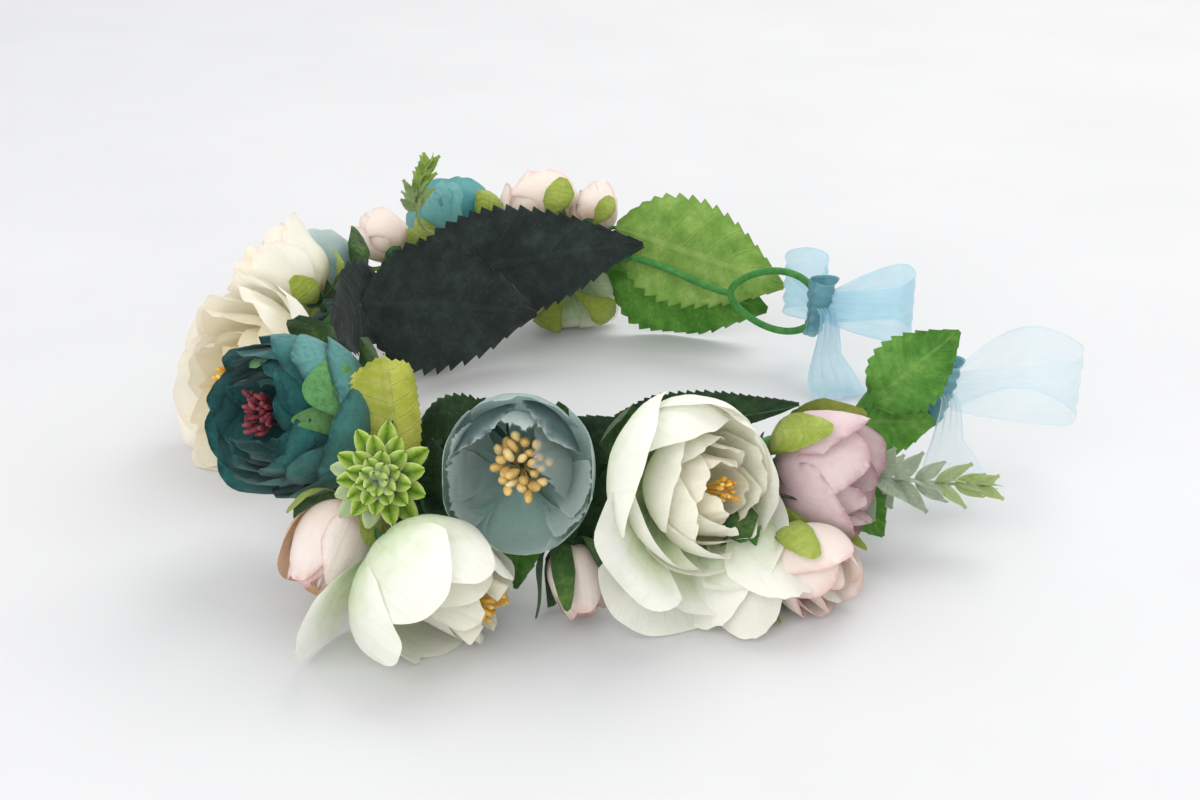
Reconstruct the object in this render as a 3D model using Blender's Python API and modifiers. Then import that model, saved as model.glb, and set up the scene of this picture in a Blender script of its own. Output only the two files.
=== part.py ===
"""Flower crown: a wrapped wire ring, open at the back, that carries silk blooms, leaves and picks.

The two ends of the wire are bent into eyes, and a ribbon tied through each eye closes the crown.
Sizes are in metres. X runs along the gap of the ring, with the opening at +X. Z is up, and the
lowest blooms rest on Z = 0. Places round the ring are given by the ring angle in degrees, which
falls from the near end (NEAR_END) by way of the front (-90) and the left (-180) to the far end.
"""

import math
from collections import namedtuple

import bmesh
import bpy
from mathutils import Matrix, Vector

# The ring, seen from above, is an ellipse that fits round an adult head.
RING_CENTRE_X = -0.0035
RING_CENTRE_Y = 0.0151
RING_HALF_LENGTH = 0.094
RING_HALF_WIDTH = 0.0825
NEAR_END = -40
FAR_END = -301
FAR_TUCK_FROM = -262
FAR_TUCK = 0.11
RING_HEIGHTS = ((-40, 0.033), (-90, 0.035), (-180, 0.0365), (-235, 0.038), (-270, 0.035), (-301, 0.027))

# The wire and its coverings.
CORE_RADIUS = 0.0006
COVER_RADIUS = 0.0013
COVER_BORE = 0.00095
COVER_WALL = COVER_RADIUS - COVER_BORE
TAPE_CLEARANCE = 0.0004
TAPE_BORE = COVER_RADIUS + TAPE_CLEARANCE
TAPE_WALL = 0.0006
TAPE_RADIUS = TAPE_BORE + TAPE_WALL
TAPE_BARE_STEPS = (1, 3)
RING_STEP = 9
EYE_LENGTH = 0.033
EYE_HEIGHT = 0.026
EYE_ROUNDNESS = 0.5
EYE_POINTS = 16
NEAR_EYE_HEADING = 32
FAR_EYE_HEADING = -24

# What every bloom shares.
GAP = 0.0004
STEM_RADIUS = 0.0011
STEM_HOLE = STEM_RADIUS + 0.0009
STEM_STRAIGHT = 0.003
STEM_PIN = 0.0022
PETAL_WALL = 0.0011
SEPAL_WALL = 0.0007
SEPAL_ANGLE = 50
SEPAL_SLACK = 0.022
STAMEN_SHARE = 0.36
PETAL_NOTCH = 0.14
SEPAL_NOTCH = 0.42
LEAF_WALL = 0.0008
STALK_RADIUS = 0.0009

# One bloom. The place is the ring angle, the distance outside the wire and the height of the
# bloom's middle. It faces yaw degrees round from straight outwards, and pitch degrees upwards.
# Opening is how far up its sides the petals run: 90 is a bowl, and more closes the bloom.
Bloom = namedtuple("Bloom", "name angle out height yaw pitch radius depth opening lobes columns stem_angle inside colour")

BLOOMS = (
    Bloom("teal_ranunculus", -137, 0.0285, 0.0450, 11, 19, 0.0205, 0.029, 118, 5, 20, -138, "heart stamens", (0.06, 0.16, 0.17)),
    Bloom("sage_cup", -103, 0.0224, 0.0400, 12, 26, 0.0205, 0.024, 84, 5, 20, -106, "stamens", (0.34, 0.48, 0.43)),
    Bloom("white_peony", -80, 0.0240, 0.0370, 21, 25, 0.0240, 0.023, 88, 5, 20, -84, "inner_petals stamens", (0.88, 0.90, 0.80)),
    Bloom("low_peony", -111, 0.0475, 0.0181, 70, -21, 0.0175, 0.032, 112, 5, 15, -114, "stamens", (0.90, 0.90, 0.82)),
    Bloom("side_peony", -71, 0.0205, 0.0127, 22, -52, 0.0113, 0.021, 112, 5, 15, -75, "", (0.90, 0.88, 0.80)),
    Bloom("cream_peony", -175, 0.0225, 0.0223, 19, 10, 0.0255, 0.028, 98, 5, 20, -173, "stamens", (0.90, 0.88, 0.76)),
    Bloom("cream_rose", -191, 0.0150, 0.0500, -9, 37, 0.0125, 0.023, 120, 5, 15, -189, "", (0.91, 0.82, 0.72)),
    Bloom("sage_cup_back", -207, 0.0200, 0.0360, -10, 12, 0.0165, 0.020, 90, 5, 15, -205, "", (0.34, 0.48, 0.43)),
    Bloom("blush_bud_left", -223, 0.0209, 0.0500, -9, 24, 0.0110, 0.021, 128, 3, 12, -221, "", (0.92, 0.78, 0.72)),
    Bloom("teal_ranunculus_back", -241, 0.0265, 0.0400, -4, 12, 0.0175, 0.024, 116, 5, 15, -240, "", (0.06, 0.16, 0.17)),
    Bloom("pink_bud_back", -256, 0.0200, 0.0540, -8, 30, 0.0120, 0.023, 122, 5, 15, -254, "", (0.92, 0.72, 0.70)),
    Bloom("peach_bud_back", -267, 0.0150, 0.0480, -17, 27, 0.0100, 0.019, 124, 3, 12, -267, "", (0.95, 0.72, 0.56)),
    Bloom("white_peony_back", -262, 0.0180, 0.0170, -11, -14, 0.0175, 0.022, 96, 5, 15, -264, "", (0.90, 0.90, 0.80)),
    Bloom("low_pink_bud_back", -227, 0.0020, 0.0098, 152, -50, 0.0095, 0.018, 124, 3, 12, -229, "", (0.92, 0.72, 0.72)),
    Bloom("blush_bud_front", -128, 0.0440, 0.0185, 8, -44, 0.0120, 0.025, 124, 5, 15, -131, "", (0.93, 0.82, 0.74)),
    Bloom("mauve_bud", -55, 0.0170, 0.0300, 39, -6, 0.0140, 0.029, 122, 5, 15, -64, "", (0.76, 0.55, 0.60)),
    Bloom("pale_bud", -60, 0.0340, 0.0116, 18, -26, 0.0112, 0.022, 124, 5, 15, -69, "", (0.93, 0.84, 0.76)),
    Bloom("tucked_bud", -95, 0.0270, 0.0105, 24, -50, 0.0095, 0.020, 124, 3, 12, -98, "", (0.90, 0.88, 0.76)),
)

RESTING = ("low_peony", "side_peony", "tucked_bud", "pale_bud", "cream_peony", "white_peony_back", "low_pink_bud_back")

# One leaf. It starts at its place round the ring, runs along its heading (yaw and pitch) and turns
# its upper face to the second yaw and pitch. Bend curves it along its length, towards that face.
Leaf = namedtuple("Leaf", "name angle out height yaw pitch face_yaw face_pitch length width teeth fold bend stalk_angle colour")

LEAVES = (
    Leaf("chartreuse_leaf", -122, 0.0165, 0.0380, 12, 80, 8, 4, 0.036, 0.023, 4, 0.30, 0.10, -123, (0.55, 0.60, 0.12)),
    Leaf("dark_small_leaf", -121, -0.0010, 0.0420, 40, 48, 8, 10, 0.022, 0.013, 3, 0.20, 0.10, -121, (0.03, 0.06, 0.04)),
    Leaf("dark_serrated_leaf", -93, -0.0030, 0.0410, 96, 6, -172, 18, 0.040, 0.016, 4, 0.20, 0.06, -94, (0.03, 0.06, 0.04)),
    Leaf("end_leaf_upper", -40, 0.0050, 0.0420, 66, 22, 20, 62, 0.028, 0.015, 3, 0.25, 0.08, -51, (0.11, 0.27, 0.07)),
    Leaf("end_leaf_lower", -45, 0.0050, 0.0345, 64, -6, 10, 18, 0.027, 0.018, 3, 0.25, 0.10, -50, (0.07, 0.20, 0.05)),
    Leaf("light_leaf_upper", -275, 0.0080, 0.0440, -108, -2, 176, 14, 0.058, 0.032, 6, 0.12, 0.04, -268, (0.30, 0.42, 0.10)),
    Leaf("light_leaf_lower", -273, 0.0115, 0.0280, -108, -12, 176, -4, 0.060, 0.028, 6, 0.12, 0.04, -265, (0.22, 0.36, 0.08)),
    Leaf("dark_leaf_a", -220, -0.0060, 0.0350, -112, 4, 168, 8, 0.070, 0.038, 6, 0.05, 0.10, -218, (0.03, 0.06, 0.04)),
    Leaf("dark_leaf_b", -208, -0.0060, 0.0400, 103, -4, 190, 8, 0.038, 0.029, 4, 0.05, 0.06, -210, (0.03, 0.06, 0.04)),
)

# The picks: a flocked rosette, and two sprigs that bend where they leave the ring.
Sprig = namedtuple("Sprig", "name angle out height yaw pitch face_yaw face_pitch length leaf_length leaf_width pairs colour")

SUCCULENT = Bloom("succulent_pick", -119, 0.0400, 0.0470, 22, 21, 0.0130, 0.013, 74, 8, 24, -120, "", (0.32, 0.50, 0.08))
SPRIGS = (
    Sprig("dusty_sprig", -48, 0.0070, 0.0205, 43, 4, -38, 35, 0.040, 0.011, 0.0050, 4, (0.42, 0.50, 0.36)),
    Sprig("green_sprig", -231, 0.0040, 0.0470, -77, 70, 141, 10, 0.030, 0.010, 0.0045, 3, (0.12, 0.30, 0.08)),
)

# The ribbons. A bow turns on the wire at the tip of its eye.
KNOT_BORE = 0.0022
KNOT_SIZE = (0.0062, 0.0054, 0.0028)
RIBBON_WIDTH = 0.023
RIBBON_PINCH = 0.0042
RIBBON_WALL = 0.0008
TAIL_WIDTH = 0.015
LOOP_FEET = 0.0009
Loop = namedtuple("Loop", "heading reach spread rise")
Tail = namedtuple("Tail", "heading reach end_height")
Ribbon = namedtuple("Ribbon", "name far loops tails colour")

RIBBONS = (
    Ribbon("near_ribbon", False, (Loop(20, 0.046, 0.028, 0.0),), (Tail(-62, 0.018, 0.0008),), (0.55, 0.80, 0.88)),
    Ribbon("far_ribbon", True, (Loop(-4, 0.033, 0.020, 0.003), Loop(100, 0.022, 0.014, 0.003)),
           (Tail(-70, 0.016, 0.0008),), (0.55, 0.80, 0.88)),
)

UP = Vector((0, 0, 1))


def clear_scene():
    for old in list(bpy.data.objects):
        bpy.data.objects.remove(old)


def new_collection(name):
    made = bpy.data.collections.new(name)
    bpy.context.scene.collection.children.link(made)
    return made


def material_for(name, colour):
    made = bpy.data.materials.new(name)
    made.use_nodes = True
    shader = made.node_tree.nodes["Principled BSDF"]
    shader.inputs["Base Color"].default_value = (*colour, 1)
    shader.inputs["Roughness"].default_value = 0.8
    made.diffuse_color = (*colour, 1)
    return made


def add_object(name, mesh, colour=None, frame=None):
    """A node when it has a colour, and otherwise a helper that is only used by a Boolean."""
    made = bpy.data.objects.new(name, mesh)
    if frame is not None:
        made.matrix_world = frame
    if colour is None:
        HELPERS.objects.link(made)
        made.hide_render = True
        made.display_type = "WIRE"
    else:
        PARTS.objects.link(made)
        mesh.materials.append(material_for(name, colour))
    return made


def solidify(made, wall, side):
    """Side is -1 to grow inwards, 1 to grow outwards and 0 for both."""
    modifier = made.modifiers.new("wall", "SOLIDIFY")
    modifier.thickness = wall
    modifier.offset = side
    return made


def combine(made, helper, operation="UNION"):
    modifier = made.modifiers.new(helper.name, "BOOLEAN")
    modifier.object = helper
    modifier.operation = operation
    modifier.solver = "EXACT"
    return made


def smooth(mesh):
    for face in mesh.polygons:
        face.use_smooth = True
    return mesh


def grid_mesh(name, rows, closed):
    """A mesh over rows of points, each row joined to the next. Closed joins each row's ends."""
    count = len(rows[0])
    columns = count if closed else count - 1
    faces = []
    for row in range(len(rows) - 1):
        for column in range(columns):
            here = row * count + column
            beside = row * count + (column + 1) % count
            faces.append((here, beside, beside + count, here + count))
    mesh = bpy.data.meshes.new(name)
    mesh.from_pydata([point for row in rows for point in row], [], faces)
    return smooth(mesh)


def tube_mesh(name, points, radius, sides_step=1, closed=False, capped=True):
    """A round tube along the points."""
    curve = bpy.data.curves.new(name, "CURVE")
    curve.dimensions = "3D"
    curve.bevel_depth = radius
    curve.bevel_resolution = sides_step
    curve.use_fill_caps = capped and not closed
    spline = curve.splines.new("POLY")
    spline.points.add(len(points) - 1)
    for place, point in zip(spline.points, points):
        place.co = (*point, 1)
    spline.use_cyclic_u = closed
    holder = bpy.data.objects.new(name, curve)
    bpy.context.scene.collection.objects.link(holder)
    graph = bpy.context.evaluated_depsgraph_get()
    mesh = bpy.data.meshes.new_from_object(holder.evaluated_get(graph))
    bpy.data.objects.remove(holder)
    shape = bmesh.new()
    shape.from_mesh(mesh)
    bmesh.ops.remove_doubles(shape, verts=shape.verts, dist=0.00001)
    if capped:
        bmesh.ops.recalc_face_normals(shape, faces=shape.faces)
    shape.to_mesh(mesh)
    shape.free()
    return smooth(mesh)


def ellipsoid_mesh(name, half_axes, segments, rings):
    shape = bmesh.new()
    bmesh.ops.create_uvsphere(shape, u_segments=segments, v_segments=rings, radius=1)
    for corner in shape.verts:
        corner.co = [half * side for half, side in zip(half_axes, corner.co)]
    mesh = bpy.data.meshes.new(name)
    shape.to_mesh(mesh)
    shape.free()
    return smooth(mesh)


def between(low, high, share):
    return low + (high - low) * share


def ease(share):
    share = max(0, min(1, share))
    return share * share * (3 - 2 * share)


def ring_height(angle):
    for (start, low), (end, high) in zip(RING_HEIGHTS, RING_HEIGHTS[1:]):
        if angle >= end:
            return between(low, high, ease((angle - start) / (end - start)))
    return RING_HEIGHTS[-1][1]


def ring_point(angle):
    turn = math.radians(angle)
    tuck = 1 - FAR_TUCK * ease((angle - FAR_TUCK_FROM) / (FAR_END - FAR_TUCK_FROM))
    x = RING_CENTRE_X + tuck * RING_HALF_LENGTH * math.cos(turn)
    y = RING_CENTRE_Y + tuck * RING_HALF_WIDTH * math.sin(turn)
    return Vector((x, y, ring_height(angle)))


def ring_outwards(angle):
    turn = math.radians(angle)
    return Vector((RING_HALF_WIDTH * math.cos(turn), RING_HALF_LENGTH * math.sin(turn), 0)).normalized()


def ring_path(start, end):
    count = round(abs(end - start) / RING_STEP)
    return [ring_point(between(start, end, step / count)) for step in range(count + 1)]


def place_at(angle, out, height):
    place = ring_point(angle) + out * ring_outwards(angle)
    place.z = height
    return place


def beside_wire(angle, towards, radius):
    """Where a stem of this radius ends, just off the tape, on the side of the wire nearest to a point."""
    wire = ring_point(angle)
    along = (ring_point(angle - 1) - wire).normalized()
    across = towards - wire
    across -= along * across.dot(along)
    return wire + across.normalized() * (TAPE_RADIUS + GAP + 1.3 * radius)


def direction(angle, yaw, pitch):
    """The direction that is yaw degrees round from outwards at the ring angle, and pitch degrees up."""
    level = Matrix.Rotation(math.radians(yaw), 3, "Z") @ ring_outwards(angle)
    rise = math.radians(pitch)
    return level * math.cos(rise) + UP * math.sin(rise)


def frame_at(origin, facing, side):
    """The frame at the origin whose Z is the facing, and whose X leans to the side."""
    z = facing.normalized()
    y = z.cross(side).normalized()
    x = y.cross(z)
    return Matrix.Translation(origin) @ Matrix((x, y, z)).transposed().to_4x4()


def bezier(start, control, end, steps):
    points = []
    for step in range(steps + 1):
        share = step / steps
        points.append(start.lerp(control, share).lerp(control.lerp(end, share), share))
    return points


def cup_mesh(name, radius, semi, start_radius, end_angle, lobes, columns, rows, scallop, drop=0.0):
    """An open cup of petals whose rim rises and falls in lobes. Semi is its vertical half-axis."""
    start = math.asin(start_radius / radius)
    cup = []
    for row in range(rows + 1):
        ring = []
        for column in range(columns):
            turn = math.tau * column / columns
            wave = 0.5 - 0.5 * math.cos(lobes * turn)
            bend = between(start, end_angle * (1 - scallop * wave), row / rows)
            reach = radius * math.sin(bend) * (1 - 0.03 * wave * bend)
            ring.append((reach * math.cos(turn), reach * math.sin(turn), semi * (1 - math.cos(bend)) - drop))
        cup.append(ring)
    return grid_mesh(name, cup, True)


def dome_mesh(name, radius, bottom, top, steps):
    """A turned dome, from its top on the axis down its outer side."""
    middle = between(bottom, top, 0.55)
    profile = ((0, top), (0.62 * radius, between(middle, top, 0.75)), (radius, middle), (0.55 * radius, bottom), (0, bottom))
    mesh = bpy.data.meshes.new(name)
    mesh.from_pydata([(x, 0, z) for x, z in profile], [(k, k + 1) for k in range(len(profile) - 1)], [])
    return mesh, steps


def turn(made, steps):
    """Screws the object's profile once round Z."""
    modifier = made.modifiers.new("turned", "SCREW")
    modifier.axis = "Z"
    modifier.steps = steps
    modifier.render_steps = steps
    modifier.use_merge_vertices = True
    modifier.merge_threshold = 0.00001
    return made


def table_trim():
    """The space under the table top. It flattens the petals that the crown rests on."""
    if "table_trim" in bpy.data.objects:
        return bpy.data.objects["table_trim"]
    shape = bmesh.new()
    bmesh.ops.create_cube(shape, size=1, matrix=Matrix.Diagonal((0.5, 0.5, 0.02, 1)))
    mesh = bpy.data.meshes.new("table_trim")
    shape.to_mesh(mesh)
    shape.free()
    return add_object("table_trim", mesh, None, Matrix.Translation((0, 0, -0.01)))


def bloom_frame(bloom):
    """The frame at the base of the bloom, looking the way that it faces."""
    facing = direction(bloom.angle, bloom.yaw, bloom.pitch)
    base = place_at(bloom.angle, bloom.out, bloom.height) - facing * bloom.depth / 2
    return frame_at(base, facing, UP)


def stem_mesh(name, frame, angle, pin):
    """The stem, from its pin in the bloom to just short of the tape on the wire."""
    facing = frame.to_3x3().col[2]
    base = frame.translation
    bend = base - facing * STEM_STRAIGHT
    end = beside_wire(angle, bend, STEM_RADIUS)
    control = bend - facing * (bend - end).length * 0.45
    points = [base + facing * pin, bend] + bezier(bend, control, end, 3)[1:]
    return tube_mesh(name, points, STEM_RADIUS)


def semi_of(bloom):
    return bloom.depth / (1 - math.cos(math.radians(bloom.opening)))


def add_calyx(name, bloom, frame, colour):
    """A green cup of sepals that hugs the base of the bloom, joined to its stem."""
    gap = GAP + SEPAL_SLACK * bloom.radius
    end_angle = math.radians(SEPAL_ANGLE)
    sepals = cup_mesh(name, bloom.radius + gap, semi_of(bloom) + gap, STEM_RADIUS * 0.6, end_angle,
                      bloom.lobes, bloom.columns, 2, SEPAL_NOTCH, gap)
    calyx = solidify(add_object(name, sepals, colour, frame), SEPAL_WALL, 1)
    stem = add_object(name + "_stem", stem_mesh(name + "_stem", frame, bloom.stem_angle, STEM_PIN))
    return combine(calyx, stem)


def add_bloom(bloom):
    frame = bloom_frame(bloom)
    end_angle = math.radians(bloom.opening)
    large = bool(bloom.inside)
    petals = cup_mesh(bloom.name + "_petals", bloom.radius, semi_of(bloom), STEM_HOLE, end_angle,
                      bloom.lobes, bloom.columns, 4 if large else 3, PETAL_NOTCH)
    outer = "guard_petals" if "inner_petals" in bloom.inside else "petals"
    made = solidify(add_object(bloom.name + "_" + outer, petals, bloom.colour, frame), PETAL_WALL, -1)
    if bloom.name in RESTING:
        combine(made, table_trim(), "DIFFERENCE")
    add_calyx(bloom.name + "_calyx", bloom, frame, (0.10, 0.22, 0.08))
    floor = PETAL_WALL + GAP
    if "heart" in bloom.inside or "inner_petals" in bloom.inside:
        radius = bloom.radius * 0.66
        depth = bloom.depth * 0.84 - floor
        name = bloom.name + ("_heart" if "heart" in bloom.inside else "_inner_petals")
        angle = math.radians(100)
        semi = depth / (1 - math.cos(angle))
        inner = cup_mesh(name, radius, semi, STEM_HOLE, angle, bloom.lobes, 15, 3, PETAL_NOTCH, -floor)
        solidify(add_object(name, inner, bloom.colour, frame), PETAL_WALL, -1)
        floor += PETAL_WALL + GAP
    if "stamens" in bloom.inside:
        name = bloom.name + "_stamens"
        top = bloom.depth * 0.62
        bottom = max(floor + 0.0014, STEM_PIN + GAP)
        mesh, steps = dome_mesh(name, bloom.radius * STAMEN_SHARE, bottom, top, 10)
        turn(add_object(name, mesh, (0.80, 0.60, 0.20), frame), steps)


def add_succulent(pick):
    """A rosette of two rings of thick pointed leaves on one stem."""
    frame = bloom_frame(pick)
    semi = semi_of(pick)
    outer = cup_mesh(pick.name, pick.radius, semi, STEM_RADIUS * 0.6, math.radians(pick.opening),
                     pick.lobes, 3 * pick.lobes, 3, 0.36)
    made = solidify(add_object(pick.name, outer, pick.colour, frame), PETAL_WALL, -1)
    name = pick.name + "_heart"
    lift = 2.2 * PETAL_WALL
    heart = cup_mesh(name, pick.radius * 0.6, semi * 1.1, STEM_RADIUS * 0.6, math.radians(pick.opening * 0.9),
                     pick.lobes - 2, 3 * pick.lobes - 6, 2, 0.36, -lift)
    combine(made, solidify(add_object(name, heart, None, frame), PETAL_WALL, -1))
    name = pick.name + "_stem"
    return combine(made, add_object(name, stem_mesh(name, frame, pick.stem_angle, lift + 2 * PETAL_WALL)))


def leaf_mesh(name, length, width, teeth, fold, bend):
    """A toothed leaf that grows along X and looks along Z, folded down its midrib."""
    rows = []
    steps = 2 * teeth
    for step in range(steps + 1):
        share = step / steps
        outline = math.sin(math.pi * (0.06 + 0.90 * share) ** 0.85)
        tooth = 0.86 if step % 2 else 1.0
        half = max(0.0008, width / 2 * outline * tooth)
        row = []
        for across in (-1, 0, 1):
            sweep = -0.08 * length * abs(across) * (1 - share)
            lift = fold * half * abs(across) + bend * length * 4 * (share - 0.5) ** 2
            row.append((length * share + sweep * min(1, 4 * share), half * across, lift - bend * length))
        rows.append(row)
    return grid_mesh(name, rows, False)


def add_leaf(leaf):
    heading = direction(leaf.angle, leaf.yaw, leaf.pitch)
    face = direction(leaf.angle, leaf.face_yaw, leaf.face_pitch)
    base = place_at(leaf.angle, leaf.out, leaf.height)
    frame = frame_at(base, face - heading * face.dot(heading), heading)
    mesh = leaf_mesh(leaf.name, leaf.length, leaf.width, leaf.teeth, leaf.fold, leaf.bend)
    made = solidify(add_object(leaf.name, mesh, leaf.colour, frame), LEAF_WALL, 0)
    end = beside_wire(leaf.stalk_angle, base, STALK_RADIUS)
    root = base + heading * 0.004
    control = base - heading * (base - end).length * 0.4
    points = [root] + bezier(base, control, end, 3)
    stalk = add_object(leaf.name + "_stalk", tube_mesh(leaf.name + "_stalk", points, STALK_RADIUS))
    return combine(made, stalk)


def add_sprig(sprig):
    """A stem with pairs of small flat leaves. Its origin is its foot on the wire, where it bends."""
    heading = direction(sprig.angle, sprig.yaw, sprig.pitch)
    base = place_at(sprig.angle, sprig.out, sprig.height)
    foot = beside_wire(sprig.angle, base, STALK_RADIUS)
    face = direction(sprig.angle, sprig.face_yaw, sprig.face_pitch)
    frame = frame_at(foot, face - heading * face.dot(heading), heading)
    start = frame.inverted() @ base
    control = start - Vector(((base - foot).length * 0.6, 0, 0))
    spine = sprig.length * 0.8
    points = bezier(Vector((0, 0, 0)), control, start, 4) + [start + Vector((spine, 0, 0))]
    made = add_object(sprig.name, tube_mesh(sprig.name, points, STALK_RADIUS), sprig.colour, frame)
    for pair in range(sprig.pairs + 1):
        share = (pair + 0.8) / (sprig.pairs + 0.8)
        for side in (-1, 1) if pair < sprig.pairs else (0,):
            tilt = math.radians(48 * side)
            root = start + Vector((spine * share - 0.002, 0, 0.0003 * side))
            name = f"{sprig.name}_leaf_{pair}_{side + 1}"
            size = 1 - 0.35 * share
            length = sprig.leaf_length * size
            local = Matrix.Translation(root) @ Matrix.Rotation(tilt, 4, "Z") @ Matrix.Translation((length * 0.45, 0, 0))
            blade = ellipsoid_mesh(name, (length / 2, sprig.leaf_width / 2, LEAF_WALL), 6, 4)
            combine(made, add_object(name, blade, None, frame @ local))
    return made


def eye_frame(far):
    """The frame at the neck of an eye, whose X runs to its tip."""
    neck = ring_point(FAR_END if far else NEAR_END)
    heading = math.radians(FAR_EYE_HEADING if far else NEAR_EYE_HEADING)
    return Matrix.Translation(neck) @ Matrix.Rotation(heading, 4, "Z")


def eye_path(far):
    """A teardrop in an upright plane, rounded at the neck as well as at the tip."""
    frame = eye_frame(far)
    points = []
    for step in range(EYE_POINTS):
        turned = math.tau * step / EYE_POINTS
        along = EYE_LENGTH * (1 - math.cos(turned)) / 2
        fullness = between(math.sin(turned / 2), 1, EYE_ROUNDNESS)
        points.append(frame @ Vector((along, 0, EYE_HEIGHT / 2 * math.sin(turned) * fullness)))
    return points


def add_frame():
    ring = ring_path(NEAR_END, FAR_END)
    add_object("frame_core", tube_mesh("frame_core", ring, CORE_RADIUS), (0.55, 0.55, 0.57))
    cover = add_object("paper_cover", tube_mesh("paper_cover", ring, COVER_RADIUS), (0.12, 0.30, 0.08))
    for far in (False, True):
        name = "far_eye" if far else "near_eye"
        combine(cover, add_object(name, tube_mesh(name, eye_path(far), COVER_RADIUS, closed=True)))
    first = ring[0] + (ring[0] - ring[1]).normalized() * 0.004
    last = ring[-1] + (ring[-1] - ring[-2]).normalized() * 0.004
    bore = add_object("cover_bore", tube_mesh("cover_bore", [first] + ring + [last], COVER_BORE))
    combine(cover, bore, "DIFFERENCE")
    near_bare, far_bare = TAPE_BARE_STEPS
    wrapped = tube_mesh("tape_wrap", ring[near_bare:-far_bare], TAPE_RADIUS, capped=False)
    solidify(add_object("tape_wrap", wrapped, (0.14, 0.32, 0.10)), TAPE_WALL, -1)


def band_mesh(name, path, widths, lean):
    """A ribbon along the path, whose width runs along the lean."""
    rows = []
    for point, width in zip(path, widths):
        rows.append([tuple(point - lean * width / 2), tuple(point), tuple(point + lean * width / 2)])
    return grid_mesh(name, rows, False)


def loop_band(name, loop):
    """A loop of ribbon standing on edge, gathered at the knot."""
    steps = 12
    path = []
    widths = []
    turned = Matrix.Rotation(math.radians(loop.heading), 3, "Z")
    start = KNOT_BORE + 0.0012
    for step in range(steps + 1):
        share = step / steps
        along = start + (loop.reach - start) * math.sin(math.pi * share) ** 0.8
        aside = -loop.spread / 2 * math.sin(math.tau * share)
        aside += between(-LOOP_FEET, LOOP_FEET, share)
        lift = loop.rise * math.sin(math.pi * share)
        path.append(turned @ Vector((along, aside, 0)) + UP * lift)
        widths.append(between(RIBBON_PINCH, RIBBON_WIDTH, math.sin(math.pi * share) ** 0.7))
    return band_mesh(name, path, widths, UP)


def tail_band(name, tail, drop):
    """A tail that leaves the knot and hangs down to the table."""
    turned = Matrix.Rotation(math.radians(tail.heading), 3, "Z")
    start = turned @ Vector((KNOT_BORE + 0.0012, 0, 0))
    control = turned @ Vector((tail.reach, 0, 0.002))
    end = turned @ Vector((tail.reach, 0, tail.end_height - drop))
    path = bezier(start, control, end, 6)
    widths = [between(RIBBON_PINCH, TAIL_WIDTH, ease(step / 6 * 1.6)) for step in range(7)]
    return band_mesh(name, path, widths, turned @ Vector((0, 1, 0)))


def add_ribbon(ribbon):
    """A bow on the tip of its eye. Its origin is on the upright line that it turns about."""
    tip = eye_frame(ribbon.far) @ Vector((EYE_LENGTH, 0, 0))
    frame = Matrix.Translation(tip)
    made = add_object(ribbon.name, ellipsoid_mesh(ribbon.name, KNOT_SIZE, 12, 6), ribbon.colour, frame)
    for index, loop in enumerate(ribbon.loops):
        name = f"{ribbon.name}_loop_{index}"
        combine(made, solidify(add_object(name, loop_band(name, loop), None, frame), RIBBON_WALL, 0))
    for index, tail in enumerate(ribbon.tails):
        name = f"{ribbon.name}_tail_{index}"
        combine(made, solidify(add_object(name, tail_band(name, tail, tip.z), None, frame), RIBBON_WALL, 0))
    name = ribbon.name + "_bore"
    length = 3 * KNOT_SIZE[2]
    points = [Vector((0, 0, -length)), Vector((0, 0, length))]
    bore = add_object(name, tube_mesh(name, points, KNOT_BORE, 2), None, frame)
    combine(made, bore, "DIFFERENCE")


clear_scene()
PARTS = new_collection("flower_crown")
HELPERS = new_collection("boolean_helpers")
add_frame()
for one in BLOOMS:
    add_bloom(one)
for one in LEAVES:
    add_leaf(one)
add_succulent(SUCCULENT)
for one in SPRIGS:
    add_sprig(one)
for one in RIBBONS:
    add_ribbon(one)
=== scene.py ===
"""A flower crown of silk blooms on a wire ring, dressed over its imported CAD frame."""
from collections import namedtuple
from math import asin, atan2, cos, exp, hypot, pi, radians, sin, sqrt, tau

import bpy
from mathutils import Matrix, Vector, noise


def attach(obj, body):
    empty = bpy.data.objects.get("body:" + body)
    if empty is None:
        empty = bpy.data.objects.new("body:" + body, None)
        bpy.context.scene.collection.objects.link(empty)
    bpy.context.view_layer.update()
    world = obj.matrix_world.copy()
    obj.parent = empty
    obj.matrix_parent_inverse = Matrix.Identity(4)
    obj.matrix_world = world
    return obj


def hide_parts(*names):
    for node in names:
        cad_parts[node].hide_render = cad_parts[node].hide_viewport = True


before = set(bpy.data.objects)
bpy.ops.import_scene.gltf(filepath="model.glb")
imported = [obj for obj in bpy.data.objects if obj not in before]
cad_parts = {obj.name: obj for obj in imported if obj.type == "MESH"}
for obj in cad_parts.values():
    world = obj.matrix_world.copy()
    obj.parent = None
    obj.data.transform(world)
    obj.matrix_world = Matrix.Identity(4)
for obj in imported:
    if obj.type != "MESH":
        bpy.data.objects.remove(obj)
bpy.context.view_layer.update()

# ---- the crown's own sizes, in metres
RING_CENTRE = (-0.0035, 0.0151)
RING_HALF_LENGTH = 0.094
RING_HALF_WIDTH = 0.0825
NEAR_END = -40
FAR_END = -301
FAR_TUCK_FROM = -262
FAR_TUCK = 0.11
RING_HEIGHTS = ((-40, 0.033), (-90, 0.035), (-180, 0.0365), (-235, 0.038), (-270, 0.035), (-301, 0.027))
COVER_RADIUS = 0.0013
TAPE_RADIUS = 0.0023
TAPE_ENDS = (-49, -274)
EYE_LENGTH = 0.033
EYE_HEIGHT = 0.026
EYE_ROUNDNESS = 0.5
EYE_HEADINGS = {False: 32, True: -24}
GAP = 0.0004
STEM_RADIUS = 0.0011
STEM_STRAIGHT = 0.003
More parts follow.
